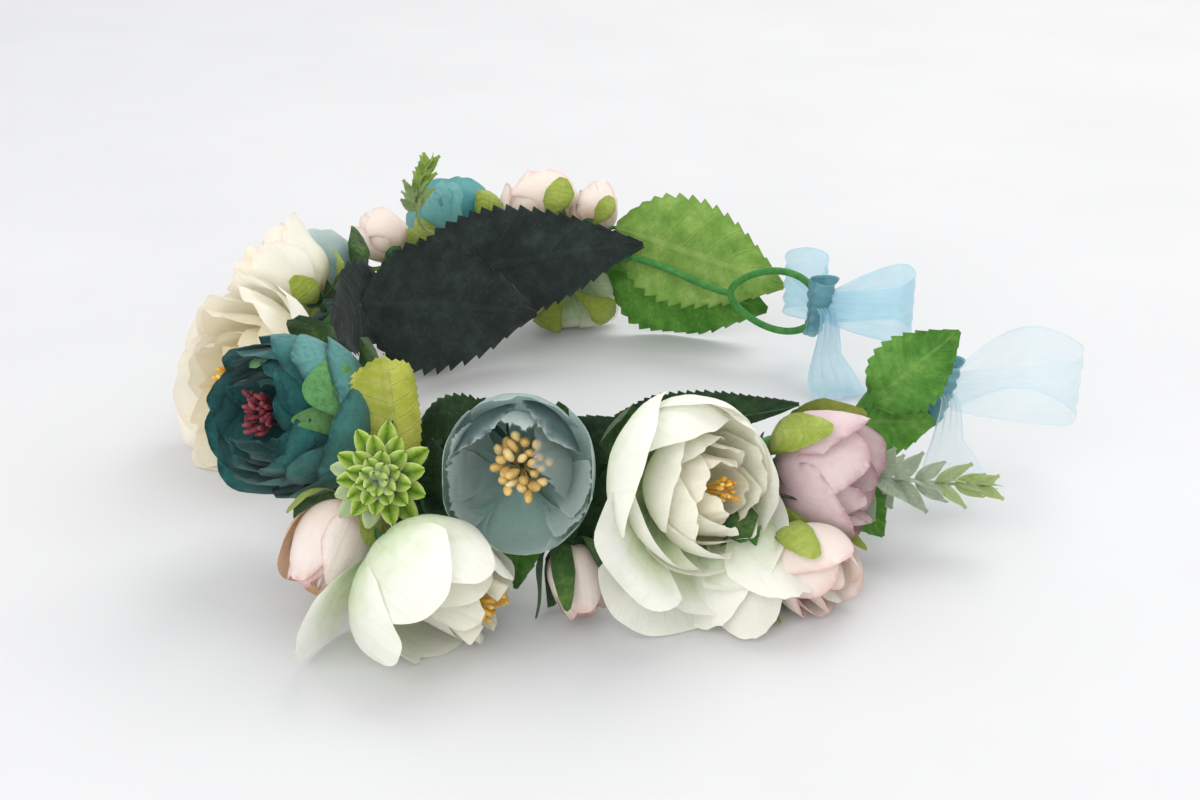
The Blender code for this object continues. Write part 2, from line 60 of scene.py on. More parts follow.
STALK_RADIUS = 0.0009
RIBBON_WIDTH = 0.023
TABLE_REACH = 0.0026
TABLE_LIFT = 0.0003
GOLDEN_TURN = pi * (3 - sqrt(5))
VEIN_PAIRS = 8.0
NARROWEST = 0.0011
BEAD_SEGMENTS = 10
BEAD_RINGS = 7
PLEATS = 4
CAMERA_PLACE = (-0.0075, -0.4836, 0.2463)
CAMERA_AIM = (-0.0075, -0.0304, 0.035)
LIGHTS_AIM = (0, 0, 0.03)
UP = Vector((0, 0, 1))

# A bloom sits beside the ring at its angle, out from the wire, at its height, and faces yaw and pitch.
Bloom = namedtuple("Bloom", "name angle out height yaw pitch radius depth stem_angle kind silk parts")
Bloom.__new__.__defaults__ = ("petals",)
BLOOMS = (
    Bloom("teal_ranunculus", -137, 0.0285, 0.045, 11, 19, 0.0205, 0.029, -138, "ranunculus", "teal",
          "petals heart stamens"),
    Bloom("sage_cup", -103, 0.0224, 0.04, 12, 26, 0.0205, 0.024, -106, "cup", "sage", "petals stamens"),
    Bloom("white_peony", -80, 0.024, 0.037, 21, 25, 0.024, 0.023, -84, "peony", "white",
          "guard_petals inner_petals stamens"),
    Bloom("low_peony", -111, 0.0475, 0.0181, 70, -21, 0.0175, 0.032, -114, "low_peony", "white",
          "petals stamens"),
    Bloom("side_peony", -71, 0.0205, 0.0127, 22, -52, 0.0113, 0.021, -75, "side_peony", "white"),
    Bloom("cream_peony", -175, 0.0215, 0.0235, 40, 16, 0.0255, 0.028, -173, "open_peony", "cream",
          "petals stamens"),
    Bloom("cream_rose", -191, 0.015, 0.05, -9, 37, 0.0125, 0.023, -189, "rose", "cream"),
    Bloom("sage_cup_back", -207, 0.02, 0.036, -10, 12, 0.0165, 0.02, -205, "back_cup", "sage"),
    Bloom("blush_bud_left", -223, 0.0209, 0.046, -9, 24, 0.011, 0.021, -221, "bud", "blush"),
    Bloom("teal_ranunculus_back", -241, 0.0265, 0.04, -4, 12, 0.0175, 0.024, -240, "ranunculus",
          "teal_light"),
    Bloom("pink_bud_back", -256, 0.02, 0.05, -8, 24, 0.012, 0.023, -254, "bud", "blush"),
    Bloom("peach_bud_back", -267, 0.015, 0.048, -17, 27, 0.01, 0.019, -267, "bud", "peach"),
    Bloom("white_peony_back", -262, 0.018, 0.017, -11, -14, 0.0175, 0.022, -264, "open_peony", "white"),
    Bloom("low_pink_bud_back", -227, 0.002, 0.0098, 152, -50, 0.0095, 0.018, -229, "bud", "blush"),
    Bloom("blush_bud_front", -125, 0.043, 0.0185, 4, -44, 0.012, 0.025, -131, "open_bud", "peach"),
    Bloom("mauve_bud", -57, 0.017, 0.03, 36, 4, 0.014, 0.029, -64, "fat_bud", "mauve"),
    Bloom("pale_bud", -64, 0.034, 0.012, 14, -20, 0.0112, 0.022, -69, "fat_bud", "blush"),
    Bloom("tucked_bud", -95, 0.027, 0.0105, 24, -50, 0.0095, 0.02, -98, "bud", "blush"),
)

# A leaf starts at its place by the ring, runs along its heading and looks along its face.
Leaf = namedtuple("Leaf", "name angle out height yaw pitch face_yaw face_pitch length width teeth fold bend "
                          "stalk_angle paint")
LEAVES = (
    Leaf("chartreuse_leaf", -124, 0.015, 0.0225, 12, 82, 34, 4, 0.046, 0.022, 17, 0.26, 0.06, -123,
         "chartreuse"),
    Leaf("dark_small_leaf", -126, 0.001, 0.0375, 130, -6, 36, 24, 0.028, 0.02, 13, 0.12, 0.08, -125, "woven"),
    Leaf("dark_serrated_leaf", -90, -0.003, 0.045, 94, 3, -172, 18, 0.052, 0.02, 23, 0.2, 0.05, -94, "woven"),
    Leaf("end_leaf_upper", -40, 0.005, 0.039, 58, 38, -30, 34, 0.033, 0.025, 11, 0.22, 0.08, -51, "green"),
    Leaf("end_leaf_lower", -45, 0.003, 0.0345, 62, -6, -24, 14, 0.028, 0.023, 10, 0.22, 0.1, -50, "green"),
    Leaf("light_leaf_upper", -271, 0.0058, 0.0435, -104, -15, 176, 14, 0.066, 0.043, 15, 0.12, 0.04, -268,
         "yellow_green"),
    # The lower light leaf, under the upper one, takes a darker copy of the light-leaf cloth: painted shade.
    Leaf("light_leaf_lower", -269, 0.0115, 0.026, -104, -11, 176, -4, 0.063, 0.047, 15, 0.12, 0.04, -265,
         "low_green"),
    Leaf("dark_leaf_a", -214, -0.007, 0.0355, -122, 4, 158, 8, 0.09, 0.046, 21, 0.05, 0.12, -218, "dark"),
    Leaf("dark_leaf_b", -208, -0.006, 0.04, 103, -4, 190, 8, 0.042, 0.034, 12, 0.05, 0.06, -210, "dark"),
    Leaf("end_leaf_low", -50, 0.006, 0.025, 30, -52, -30, 20, 0.026, 0.02, 9, 0.2, 0.08, -52, "green"),
    Leaf("dark_leaf_c", -197, -0.006, 0.0385, -150, -7, 120, 10, 0.06, 0.05, 14, 0.05, 0.08, -198, "dark"),
)
# Small leaves that fill the gaps, each by its number, its shape from angle to teeth, stalk angle and paint.
FILLERS = tuple(
    Leaf(f"filler_leaf_{number}", *shape, 0.2, 0.08, stalk_angle, paint)
    for number, *shape, stalk_angle, paint in (
        (0, -125, 0.006, 0.03, 100, 26, 36, 20, 0.03, 0.021, 11, -125, "woven"),
        (1, -99, 0.005, 0.032, 100, 4, 9, 20, 0.027, 0.022, 11, -98, "woven"),
        (2, -92, 0.003, 0.03, -14, -56, 0, 30, 0.024, 0.018, 9, -91, "woven"),
        (3, -120, 0.02, 0.027, 60, -40, 30, 30, 0.026, 0.022, 9, -120, "woven"),
        (4, -106, 0.011, 0.024, 20, -50, 0, 30, 0.024, 0.02, 9, -105, "green"),
        (5, -116, 0.026, 0.025, 60, -30, 20, 30, 0.024, 0.02, 9, -117, "woven"),
        (8, -98, 0.006, 0.037, 90, 40, 8, 20, 0.02, 0.016, 9, -98, "woven"),
        (7, -116, 0.019, 0.023, 16, 80, 26, 15, 0.024, 0.015, 9, -116, "woven"),
        (6, -76, 0.029, 0.0165, 70, 48, -14, 30, 0.015, 0.009, 7, -78, "green"),
    ))

Sprig = namedtuple("Sprig", "name body angle out height yaw pitch face_yaw face_pitch length leaf_length "
                            "leaf_width pairs bow paint")
SPRIGS = (
    Sprig("dusty_sprig", "dusty_spray", -48, 0.007, 0.0205, 43, 0, -38, 35, 0.05, 0.013, 0.0048, 7, 0.0,
          "dusty"),
    Sprig("green_sprig", "green_spray", -231, 0.004, 0.047, 20, 82, 141, 10, 0.033, 0.0094, 0.0038, 9,
          0.007, "fresh"),
)
SUCCULENT = (-118, 0.041, 0.0425, 22, 24, 0.0148, 0.014, -120)


# ---- places round the ring
def between(low, high, share):
    return low + (high - low) * share


def ease(share):
    share = max(0.0, min(1.0, share))
    return share * share * (3 - 2 * share)


def ring_height(angle):
    for (start, low), (end, high) in zip(RING_HEIGHTS, RING_HEIGHTS[1:]):
        if angle >= end:
            return between(low, high, ease((angle - start) / (end - start)))
    return RING_HEIGHTS[-1][1]


def ring_point(angle):
    turn = radians(angle)
    tuck = 1 - FAR_TUCK * ease((angle - FAR_TUCK_FROM) / (FAR_END - FAR_TUCK_FROM))
    x = RING_CENTRE[0] + tuck * RING_HALF_LENGTH * cos(turn)
    y = RING_CENTRE[1] + tuck * RING_HALF_WIDTH * sin(turn)
    return Vector((x, y, ring_height(angle)))


def ring_outwards(angle):
    turn = radians(angle)
    return Vector((RING_HALF_WIDTH * cos(turn), RING_HALF_LENGTH * sin(turn), 0)).normalized()


def place_at(angle, out, height):
    place = ring_point(angle) + out * ring_outwards(angle)
    place.z = height
    return place


def beside_wire(angle, towards, radius):
    wire = ring_point(angle)
    along = (ring_point(angle - 1) - wire).normalized()
    across = towards - wire
    across -= along * across.dot(along)
    return wire + across.normalized() * (TAPE_RADIUS + GAP + 1.3 * radius)


def direction(angle, yaw, pitch):
    level = Matrix.Rotation(radians(yaw), 3, "Z") @ ring_outwards(angle)
    rise = radians(pitch)
    return level * cos(rise) + UP * sin(rise)


def frame_at(origin, facing, side):
    z = facing.normalized()
    y = z.cross(side).normalized()
    x = y.cross(z)
    return Matrix.Translation(origin) @ Matrix((x, y, z)).transposed().to_4x4()


def turn_about(axis, degrees, size=4):
    return Matrix.Rotation(radians(degrees), size, axis)


def leaning(lean, turn):
    """A direction that leans off Z by one angle, towards another."""
    return Vector((sin(lean) * cos(turn), sin(lean) * sin(turn), cos(lean)))


def stance(piece):
    """Where a leaf or a sprig starts, and the ways it runs and looks."""
    return (place_at(piece.angle, piece.out, piece.height), direction(piece.angle, piece.yaw, piece.pitch),
            direction(piece.angle, piece.face_yaw, piece.face_pitch))


def lattice(rows, columns, at, closed=False):
    """The points at(share along, share across) of a grid, and the shares that mark their places."""
    marks = [[(column / columns, row / rows) for column in range(columns if closed else columns + 1)]
             for row in range(rows + 1)]
    return [[at(along, across) for across, along in line] for line in marks], marks


def bezier(start, control, end, steps):
    points = []
    for step in range(steps + 1):
        share = step / steps
        points.append(start.lerp(control, share).lerp(control.lerp(end, share), share))
    return points


def hash01(*seeds):
    """A steady number from 0 to 1 for these seeds."""
    total = sum((index * 7.13 + 3.77) * value for index, value in enumerate(seeds, 1))
    return (sin(total * 12.9898 + 4.1414) * 43758.5453) % 1.0


def spread(low, high, *seeds):
    return between(low, high, hash01(*seeds))


def on_table(point):
    """Cloth that reaches the table flattens onto it."""
    x, y, z = point
    if z < TABLE_REACH:
        z = TABLE_LIFT + (TABLE_REACH - TABLE_LIFT) * exp((z - TABLE_REACH) / (TABLE_REACH - TABLE_LIFT))
    return x, y, z


# ---- meshes
class Maker:
    """Gathers petals, tubes and beads into one mesh, with each point's place on its petal and a tint."""

    def __init__(self):
        self.points, self.faces, self.uvs, self.tints, self.slots = [], [], [], [], []

    def grid(self, rows, places, tint=0.0, slot=0, closed=False):
        first = len(self.points)
        columns = len(rows[0])
        for row, marks in zip(rows, places):
            self.points += [tuple(point) for point in row]
            self.uvs += marks
            self.tints += [tint] * columns
        last = columns if closed else columns - 1
        for row in range(len(rows) - 1):
            for column in range(last):
                a = first + row * columns + column
                b = first + row * columns + (column + 1) % columns
                self.faces.append((a, b, b + columns, a + columns))
                self.slots.append(slot)

    def surface(self, rows, columns, at, tint=0.0, slot=0, closed=False):
        """Adds a lattice of points and returns its rows."""
        lines, marks = lattice(rows, columns, at, closed)
        self.grid(lines, marks, tint, slot, closed)
        return lines

    def tube(self, points, radius, sides=8, tint=0.0, slot=0, taper=1.0):
        """A round tube along the points, closed at its ends, whose radius may be a function of the share."""
        rows, places = [], []
        side = None
        length = 0.0
        for index, point in enumerate(points):
            before = points[max(0, index - 1)]
            after = points[min(len(points) - 1, index + 1)]
            ahead = (after - before).normalized()
            if side is None:
                side = ahead.orthogonal().normalized()
            side = (side - ahead * side.dot(ahead)).normalized()
            other = ahead.cross(side)
            share = index / (len(points) - 1)
            length += (point - before).length
            reach = radius(share) if callable(radius) else radius * between(1, taper, share)
            ring = [point + (side * cos(tau * k / sides) + other * sin(tau * k / sides)) * reach
                    for k in range(sides)]
            rows.append(ring)
            places.append([(k / sides, length * 100) for k in range(sides)])
        rows.insert(0, [points[0]] * sides)
        rows.append([points[-1]] * sides)
        places.insert(0, places[0])
        places.append(places[-1])
        self.grid(rows, places, tint, slot, closed=True)

    def bead(self, centre, ahead, half_length, half_width, tint=0.0, slot=0, groove=0.0):
        """An egg-shaped bead with a groove down one side."""
        basis = frame_at(centre, ahead, UP if abs(ahead.normalized().z) < 0.9 else Vector((1, 0, 0)))

        def at(down_share, turn_share):
            down, turn = pi * down_share, tau * turn_share
            reach = half_width * sin(down) * (1 - groove * max(0.0, cos(turn)) ** 6)
            reach *= 1 + 0.18 * cos(down)
            return basis @ Vector((reach * cos(turn), reach * sin(turn), half_length * cos(down)))

        self.surface(BEAD_RINGS, BEAD_SEGMENTS, at, tint, slot, closed=True)

    def build(self, name, slot, materials, replaces=(), body="crown"):
        mesh = bpy.data.meshes.new(name)
        self.points = [on_table(point) for point in self.points]
        mesh.from_pydata(self.points, [], self.faces)
        layer = mesh.uv_layers.new(name="petal")
        loops = [0] * len(mesh.loops)
        mesh.loops.foreach_get("vertex_index", loops)
        layer.data.foreach_set("uv", [number for index in loops for number in self.uvs[index]])
        tint = mesh.attributes.new("tint", "FLOAT", "POINT")
        tint.data.foreach_set("value", self.tints)
        for material in materials:
            mesh.materials.append(material)
        mesh.polygons.foreach_set("material_index", self.slots)
        mesh.polygons.foreach_set("use_smooth", [True] * len(mesh.polygons))
        mesh.update()
        made = bpy.data.objects.new(name, mesh)
        bpy.context.scene.collection.objects.link(made)
        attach(made, body)
        if replaces:
            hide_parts(*replaces)
        return made


# A petal hangs on a spine in the plane of its turn, given as four control points (out, up) in metres.
Petal = namedtuple("Petal", "turn half spine flat tip curl ruffle lean tint seed fray foot")
Petal.__new__.__defaults__ = (1.0, 0.22, 0.0, 0.0, 0.0, 0.0, 0.0, 0.0, 0.5)


def curve_at(spine, share):
    a, b, c, d = spine
    rest = 1 - share
    out = rest ** 3 * a[0] + 3 * rest ** 2 * share * b[0] + 3 * rest * share ** 2 * c[0] + share ** 3 * d[0]
    up = rest ** 3 * a[1] + 3 * rest ** 2 * share * b[1] + 3 * rest * share ** 2 * c[1] + share ** 3 * d[1]
    return out, up


def add_petal(maker, place, petal, columns=18, rows=16, slot=0):
    """A petal of cloth: cupped across, rounded at its tip, with a curled, ruffled and perhaps frayed rim."""
    half = radians(petal.half)
    turned = place @ turn_about("Z", petal.turn)
    size = max(abs(petal.spine[3][0]), abs(petal.spine[3][1]), 0.004)

    def at(share, side):
        across = 2 * side - 1
        along = share * (1 - petal.tip * abs(across) ** 2.7)
        if petal.fray:
            jag = noise.noise(Vector((across * 19, petal.seed * 3.1, 1.7)))
            along *= 1 + petal.fray * jag * share ** 8
        out, up = curve_at(petal.spine, along)
        out_next, up_next = curve_at(petal.spine, min(1.0, along + 0.02))
        out_before, up_before = curve_at(petal.spine, max(0.0, along - 0.02))
        run, rise = out_next - out_before, up_next - up_before
        length = hypot(run, rise) or 1e-9
        inwards = Vector((-rise / length, 0, run / length))
        reach = max(abs(out), NARROWEST)
        broad = between(petal.foot, 1.0, ease(along / 0.55)) * (1 - 0.12 * along ** 5)
        width = reach * half * broad
        bow = reach * petal.flat
        bend = across * width / bow
        point = Vector((out, 0, up)) + inwards * bow * (1 - cos(bend))
        point += Vector((0, bow * sin(bend), 0))
        point -= inwards * petal.lean * across * size * 0.1 * ease(along * 2)
        point -= inwards * petal.curl * size * max(0.0, (along - 0.7) / 0.3) ** 2
        wave = sin(across * 5.3 + petal.seed * 2.7) + 0.6 * sin(across * 11.1 + petal.seed)
        point += inwards * petal.ruffle * size * wave * along ** 4
        spot = point * 90 + Vector((petal.seed * 5.1, petal.turn * 0.31, 0))
        crumple = 0.0007 * noise.noise(spot) + 0.00022 * noise.noise(spot * 3.4)
        point += inwards * crumple * ease(along * 1.6)
        return turned @ point

    return maker.surface(rows, columns, at, petal.tint, slot)


def add_fringe(maker, rim, ahead, tint, seed, slot=0, longest=0.0013):
    """Loose threads that stand out from a cut edge."""
    for index in range(len(rim) - 1):
        for part in range(3):
            start = rim[index].lerp(rim[index + 1], (part + hash01(seed, index, part)) / 3)
            along = (rim[index + 1] - rim[index]).normalized()
            length = longest * spread(0.25, 1.0, seed, index, part, 2)
            tip = start + (ahead + along * spread(-0.6, 0.6, seed, index, part, 3)).normalized() * length
            root = along * 0.00011
            rows = [[start - root, start + root], [tip - root * 0.4, tip + root * 0.4]]
            maker.grid(rows, [[(0.4, 0.96), (0.6, 0.96)], [(0.4, 1.0), (0.6, 1.0)]], tint, slot)


# A layer of petals round a bloom, in shares of its radius and depth.
Layer = namedtuple("Layer", "count half belly rim height curl ruffle start tint fray tip")
Layer.__new__.__defaults__ = (0.0, 0.0, 0.0, 0.0, 0.0, 0.22)


def add_layers(maker, place, bloom, seed):
    radius, depth = bloom.radius, bloom.depth
    for number, layer in enumerate(LAYERS[bloom.kind]):
        for index in range(layer.count):
            key = seed * 10 + number * 1.7 + index
            turn = layer.start + 360 * index / layer.count + spread(-9, 9, key, 1)
            height = layer.height * spread(0.94, 1.05, key, 2)
            rim = layer.rim * spread(0.92, 1.08, key, 3)
            belly = layer.belly * spread(0.97, 1.02, key, 4)
            half = layer.half * spread(0.92, 1.08, key, 5)
            tint = min(1.0, max(0.0, layer.tint + spread(-0.12, 0.12, key, 6)))
            spine = ((0.0014, 0.0004), (0.92 * belly * radius, 0.005 * depth),
                     (1.1 * belly * radius, 0.42 * height * depth), (rim * radius, height * depth))
            curl = layer.curl * spread(0.4, 1.5, key, 7)
            petal = Petal(turn, half, spine, 1.0, layer.tip, curl, layer.ruffle, 0.5, tint, key, layer.fray)
            add_petal(maker, place, petal)


LAYERS = {
    "ranunculus": (
        Layer(5, 50, 0.98, 0.88, 0.84, 0.1, 0.01, 10, 0.0),
        Layer(5, 50, 0.94, 0.85, 0.96, 0.04, 0.01, 40, 0.12),
        Layer(5, 46, 0.88, 0.76, 1.01, 0.02, 0.015, 5, 0.05),
        Layer(5, 44, 0.8, 0.66, 1.0, 0.0, 0.02, 30, 0.15),
        Layer(5, 44, 0.7, 0.56, 0.97, 0.0, 0.02, 66, 0.05),
        Layer(4, 50, 0.6, 0.47, 0.92, 0.0, 0.03, 60, 0.1),
        Layer(4, 46, 0.48, 0.36, 0.86, 0.0, 0.03, 10, 0.0),
    ),
    "cup": (),
    "back_cup": (
        Layer(5, 50, 1.0, 0.98, 0.95, 0.05, 0.02, 20, 0.1, 0.05, 0.2),
        Layer(5, 46, 0.88, 0.8, 1.0, 0.0, 0.02, 50, 0.2, 0.05, 0.2),
        Layer(4, 44, 0.62, 0.5, 0.9, 0.0, 0.03, 15, 0.3, 0.05, 0.2),
    ),
    "open_peony": (
        Layer(6, 44, 1.0, 1.02, 0.74, 0.12, 0.025, 12, 0.1),
        Layer(6, 42, 0.9, 0.92, 0.92, 0.08, 0.035, 40, 0.2),
        Layer(5, 46, 0.76, 0.72, 1.0, 0.05, 0.04, 20, 0.4),
        Layer(4, 56, 0.6, 0.5, 0.98, 0.02, 0.05, 50, 0.5),
        Layer(4, 50, 0.42, 0.33, 0.9, 0.0, 0.06, 10, 0.7),
    ),
    "rose": (
        Layer(5, 48, 1.0, 0.98, 0.84, 0.14, 0.02, 20, 0.1),
        Layer(5, 46, 0.9, 0.76, 0.98, 0.05, 0.02, 50, 0.2),
        Layer(4, 52, 0.7, 0.52, 1.02, 0.0, 0.03, 15, 0.3),
        Layer(3, 60, 0.46, 0.28, 1.0, 0.0, 0.03, 40, 0.6),
    ),
    "bud": (
        Layer(3, 70, 1.0, 0.62, 0.94, 0.05, 0.01, 20, 0.1),
        Layer(3, 66, 0.88, 0.4, 1.02, 0.02, 0.02, 80, 0.2),
        Layer(3, 60, 0.6, 0.2, 0.98, 0.0, 0.03, 40, 0.4),
    ),
    "fat_bud": (
        Layer(3, 66, 1.06, 0.78, 0.9, 0.06, 0.01, 5, 0.1, 0.0, 0.2),
        Layer(3, 64, 0.96, 0.6, 0.98, 0.02, 0.012, 50, 0.25, 0.0, 0.18),
        Layer(3, 62, 0.74, 0.36, 0.96, 0.0, 0.014, 20, 0.4, 0.0, 0.16),
    ),
    "open_bud": (
        Layer(3, 62, 0.84, 0.46, 0.98, 0.02, 0.02, 10, 0.0),
        Layer(3, 60, 0.6, 0.24, 1.0, 0.0, 0.03, 70, 0.0),
    ),
    "side_peony": (
        Layer(4, 52, 1.0, 1.25, 0.92, 0.1, 0.014, 0, 0.1, 0.02, 0.32),
        Layer(4, 50, 0.9, 0.95, 1.12, 0.05, 0.018, 45, 0.2, 0.02, 0.3),
        Layer(3, 48, 0.7, 0.6, 1.08, 0.05, 0.022, 45, 0.3, 0.02, 0.28),
    ),
    "peony": (
        Layer(4, 54, 0.8, 0.7, 0.98, 0.05, 0.022, 60, 0.25, 0.02, 0.24),
        Layer(4, 54, 0.7, 0.54, 1.08, 0.03, 0.028, 20, 0.4, 0.02, 0.22),
        Layer(4, 50, 0.58, 0.42, 1.12, 0.02, 0.03, 70, 0.5, 0.02, 0.22),
        Layer(3, 58, 0.44, 0.28, 1.1, 0.0, 0.036, 10, 0.65, 0.02, 0.2),
    ),
    "low_peony": (
        Layer(3, 66, 0.8, 0.62, 0.94, 0.03, 0.02, 30, 0.25),
        Layer(4, 54, 0.68, 0.5, 1.02, 0.03, 0.04, 70, 0.4),
        Layer(4, 46, 0.46, 0.36, 1.02, 0.04, 0.07, 10, 0.6),
    ),
}

# Petals that stand outside the even layers. Their spines are in shares of the bloom's radius and depth, and
# a spine of three points starts at SPINE_ROOT.
Single = namedtuple("Single", "turn half spine flat tip curl ruffle tint slot fray foot")
Single.__new__.__defaults__ = (1.0, 0.24, 0.0, 0.01, 0.0, 0, 0.0, 0.5)
SPINE_ROOT = (0.1, 0.0)
UPRIGHT = ((1.02, -0.02), (1.14, 0.42), (1.0, 1.0))
SINGLE = {
    "ranunculus": (
        Single(305, 44, ((1.0, 0.0), (1.18, 0.36), (0.98, 0.78)), tint=0.8, curl=0.04),
        Single(262, 46, ((1.0, 0.0), (1.2, 0.4), (0.97, 0.92)), tint=0.55, curl=0.02),
        Single(325, 38, ((0.96, 0.0), (1.12, 0.44), (0.9, 1.05)), tint=0.95),
        Single(304, 30, ((1.02, 0.0), (1.24, 0.42), (0.84, 1.08)), tip=0.36, slot=1),
        Single(282, 19, ((0.9, 0.0), (1.08, 0.46), (0.64, 1.1)), tip=0.36, slot=1, tint=0.5),
        Single(24, 20, ((0.9, 0.0), (0.98, 0.44), (0.66, 1.02)), tip=0.4, slot=1, tint=0.3),
        Single(215, 46, ((1.0, 0.0), (1.16, 0.4), (0.97, 0.86)), tint=0.4, curl=0.03),
        Single(236, 36, ((0.94, 0.0), (1.04, 0.44), (0.76, 1.04)), tint=0.5),
    ),
    "cup": (
        Single(180, 74, ((0.05, 0.0), (1.02, -0.03), (1.14, 0.4), (1.02, 1.02)), tip=0.1, curl=0.02,
               fray=0.02, foot=0.9),
        Single(100, 60, ((1.04, -0.02), (1.18, 0.42), (1.08, 0.98)), tip=0.12, tint=0.1, fray=0.05, foot=0.9),
        Single(262, 60, ((1.04, -0.02), (1.18, 0.42), (1.06, 1.0)), tip=0.12, tint=0.1, fray=0.05, foot=0.9),
        Single(5, 60, UPRIGHT, tip=0.12, tint=0.3, fray=0.05, foot=0.9),
        Single(66, 26, ((0.1, 0.04), (0.74, 0.06), (0.86, 0.45), (1.0, 1.02)), flat=1.4, tip=0.2, slot=1,
               fray=0.1),
        Single(92, 24, ((0.1, 0.04), (0.7, 0.06), (0.8, 0.45), (0.98, 0.92)), flat=1.5, tip=0.2, slot=1,
               fray=0.12),
        Single(116, 24, ((0.1, 0.04), (0.74, 0.04), (0.86, 0.4), (1.04, 0.86)), flat=1.4, tip=0.2, slot=1,
               fray=0.12),
        Single(256, 26, ((0.1, 0.04), (0.76, 0.05), (0.88, 0.45), (1.02, 0.98)), flat=1.3, tip=0.2, slot=1,
               fray=0.1),
        Single(234, 24, ((0.1, 0.04), (0.78, 0.04), (0.9, 0.42), (1.05, 0.9)), flat=1.3, tip=0.2, slot=1,
               fray=0.08),
        # These two folded-over top petals take the sage silk's dark colour: partly deeper dye, partly painted
        # shade on their backs.
        Single(40, 36, ((1.0, 0.0), (1.18, 0.66), (0.66, 1.14)), tip=0.2, tint=0.95, fray=0.03),
        Single(322, 36, ((1.0, 0.0), (1.18, 0.66), (0.64, 1.16)), tip=0.2, tint=0.95, fray=0.03),
        Single(0, 36, ((0.9, 0.0), (0.98, 0.6), (0.66, 1.16)), tip=0.22, slot=1, fray=0.12, curl=-0.04),
        Single(296, 52, ((0.88, 0.0), (1.04, 0.62), (0.26, 1.14)), tip=0.16, slot=2, fray=0.08, ruffle=0.02),
    ),
    "peony": (
        Single(8, 56, ((1.05, 0.0), (1.22, 0.75), (0.66, 1.34)), tip=0.2, curl=-0.06, ruffle=0.012),
        Single(58, 50, ((1.1, 0.0), (1.34, 0.62), (0.98, 1.26)), tip=0.24, curl=0.03, ruffle=0.012),
        Single(118, 40, ((0.98, 0.1), (1.1, 0.95), (1.52, 0.7)), flat=1.3, tip=0.36, curl=0.08),
        Single(150, 40, ((0.1, -0.02), (0.95, -0.05), (1.34, 0.1), (1.66, 0.34)), flat=1.5, tip=0.34,
               curl=0.08, tint=0.15),
        Single(182, 34, ((0.95, 0.0), (1.25, 0.2), (1.45, 0.6)), flat=1.1, tip=0.32),
        Single(108, 64, ((0.1, 0.03), (0.8, 0.04), (0.96, 0.45), (0.9, 0.86)), tip=0.24, tint=0.2, foot=1.0),
        Single(168, 46, ((0.1, 0.03), (0.82, 0.04), (0.98, 0.4), (0.98, 0.74)), tip=0.3, tint=0.1),
        Single(214, 42, ((0.98, 0.0), (1.25, 0.36), (1.24, 0.98)), flat=0.9, tip=0.28),
        Single(258, 44, ((0.95, 0.0), (1.15, 0.6), (0.86, 1.12)), tip=0.26, tint=0.15),
        Single(306, 50, ((0.95, 0.0), (1.15, 0.65), (0.78, 1.18)), tip=0.24, tint=0.2),
        Single(340, 44, ((1.0, 0.0), (1.2, 0.65), (0.86, 1.22)), tip=0.24, tint=0.1),
    ),
    "low_peony": (
        Single(116, 40, ((1.0, -0.05), (1.6, 0.02), (2.02, 0.22)), flat=2.0, tip=0.32, curl=0.05, foot=0.6),
        Single(92, 30, ((1.0, 0.0), (1.45, 0.3), (1.42, 0.92)), flat=1.3, tip=0.34, curl=-0.03),
        Single(144, 32, ((0.9, 0.0), (1.25, 0.35), (1.05, 0.86)), flat=1.2, tip=0.34),
        Single(48, 42, ((1.0, 0.0), (1.42, 0.4), (1.26, 0.98)), flat=1.1, tip=0.32, curl=0.03),
        Single(8, 44, ((1.0, 0.0), (1.26, 0.45), (0.96, 1.02)), flat=1.1, tip=0.3, curl=0.04),
        Single(180, 50, ((1.0, 0.0), (1.22, 0.42), (0.98, 0.96)), flat=1.1, tip=0.28, tint=0.1),
        Single(325, 46, ((1.0, 0.0), (1.15, 0.5), (0.82, 1.05)), tip=0.3, tint=0.1),
    ),
    "open_bud": (
        Single(150, 60, ((1.05, -0.02), (1.32, 0.4), (1.06, 1.02)), tip=0.24, curl=-0.04, slot=1),
        Single(100, 58, ((1.0, -0.02), (1.3, 0.4), (1.08, 0.98)), tip=0.24, curl=-0.03, slot=1),
        Single(62, 50, ((0.9, 0.0), (1.02, 0.45), (0.66, 1.02)), tip=0.28),
        Single(10, 50, ((0.96, 0.0), (1.1, 0.45), (0.7, 1.02)), tip=0.28),
        Single(300, 50, ((0.96, 0.0), (1.14, 0.45), (0.7, 0.98)), tip=0.28),
    ),
    "fat_bud": (
        Single(205, 52, ((1.08, -0.02), (1.34, 0.36), (1.0, 0.8)), tip=0.26, slot=1),
    ),
}

# How a bloom departs from round: stretch up and sideways, then how its heart tips sideways and up.
Shape = namedtuple("Shape", "tall wide heart_side heart_up size")
Shape.__new__.__defaults__ = (1.0, 1.0, 0, 0, 1.0)
SHAPES = {
    "teal_ranunculus": Shape(1.04, 1.0, -10, 0, 1.05),
    "sage_cup": Shape(1.02, 0.94, 0, 0, 0.97),
    "white_peony": Shape(1.03, 0.96, 12, -5, 0.97),
    "low_peony": Shape(1.0, 1.0, 12, 0, 1.02),
    "side_peony": Shape(1.0, 1.2, 0, 0, 1.35),
    "mauve_bud": Shape(1.42, 1.05, 0, 0, 1.0),
    "pale_bud": Shape(1.15, 1.15, 0, 0, 1.02),
    "cream_peony": Shape(1.18, 1.0, 0, 0, 1.04),
    "cream_rose": Shape(1.0, 1.0, 0, 0, 1.15),
    "pink_bud_back": Shape(0.85, 1.35, 0, 0, 1.0),
    "blush_bud_left": Shape(0.9, 1.1, 0, 0, 0.9),
}


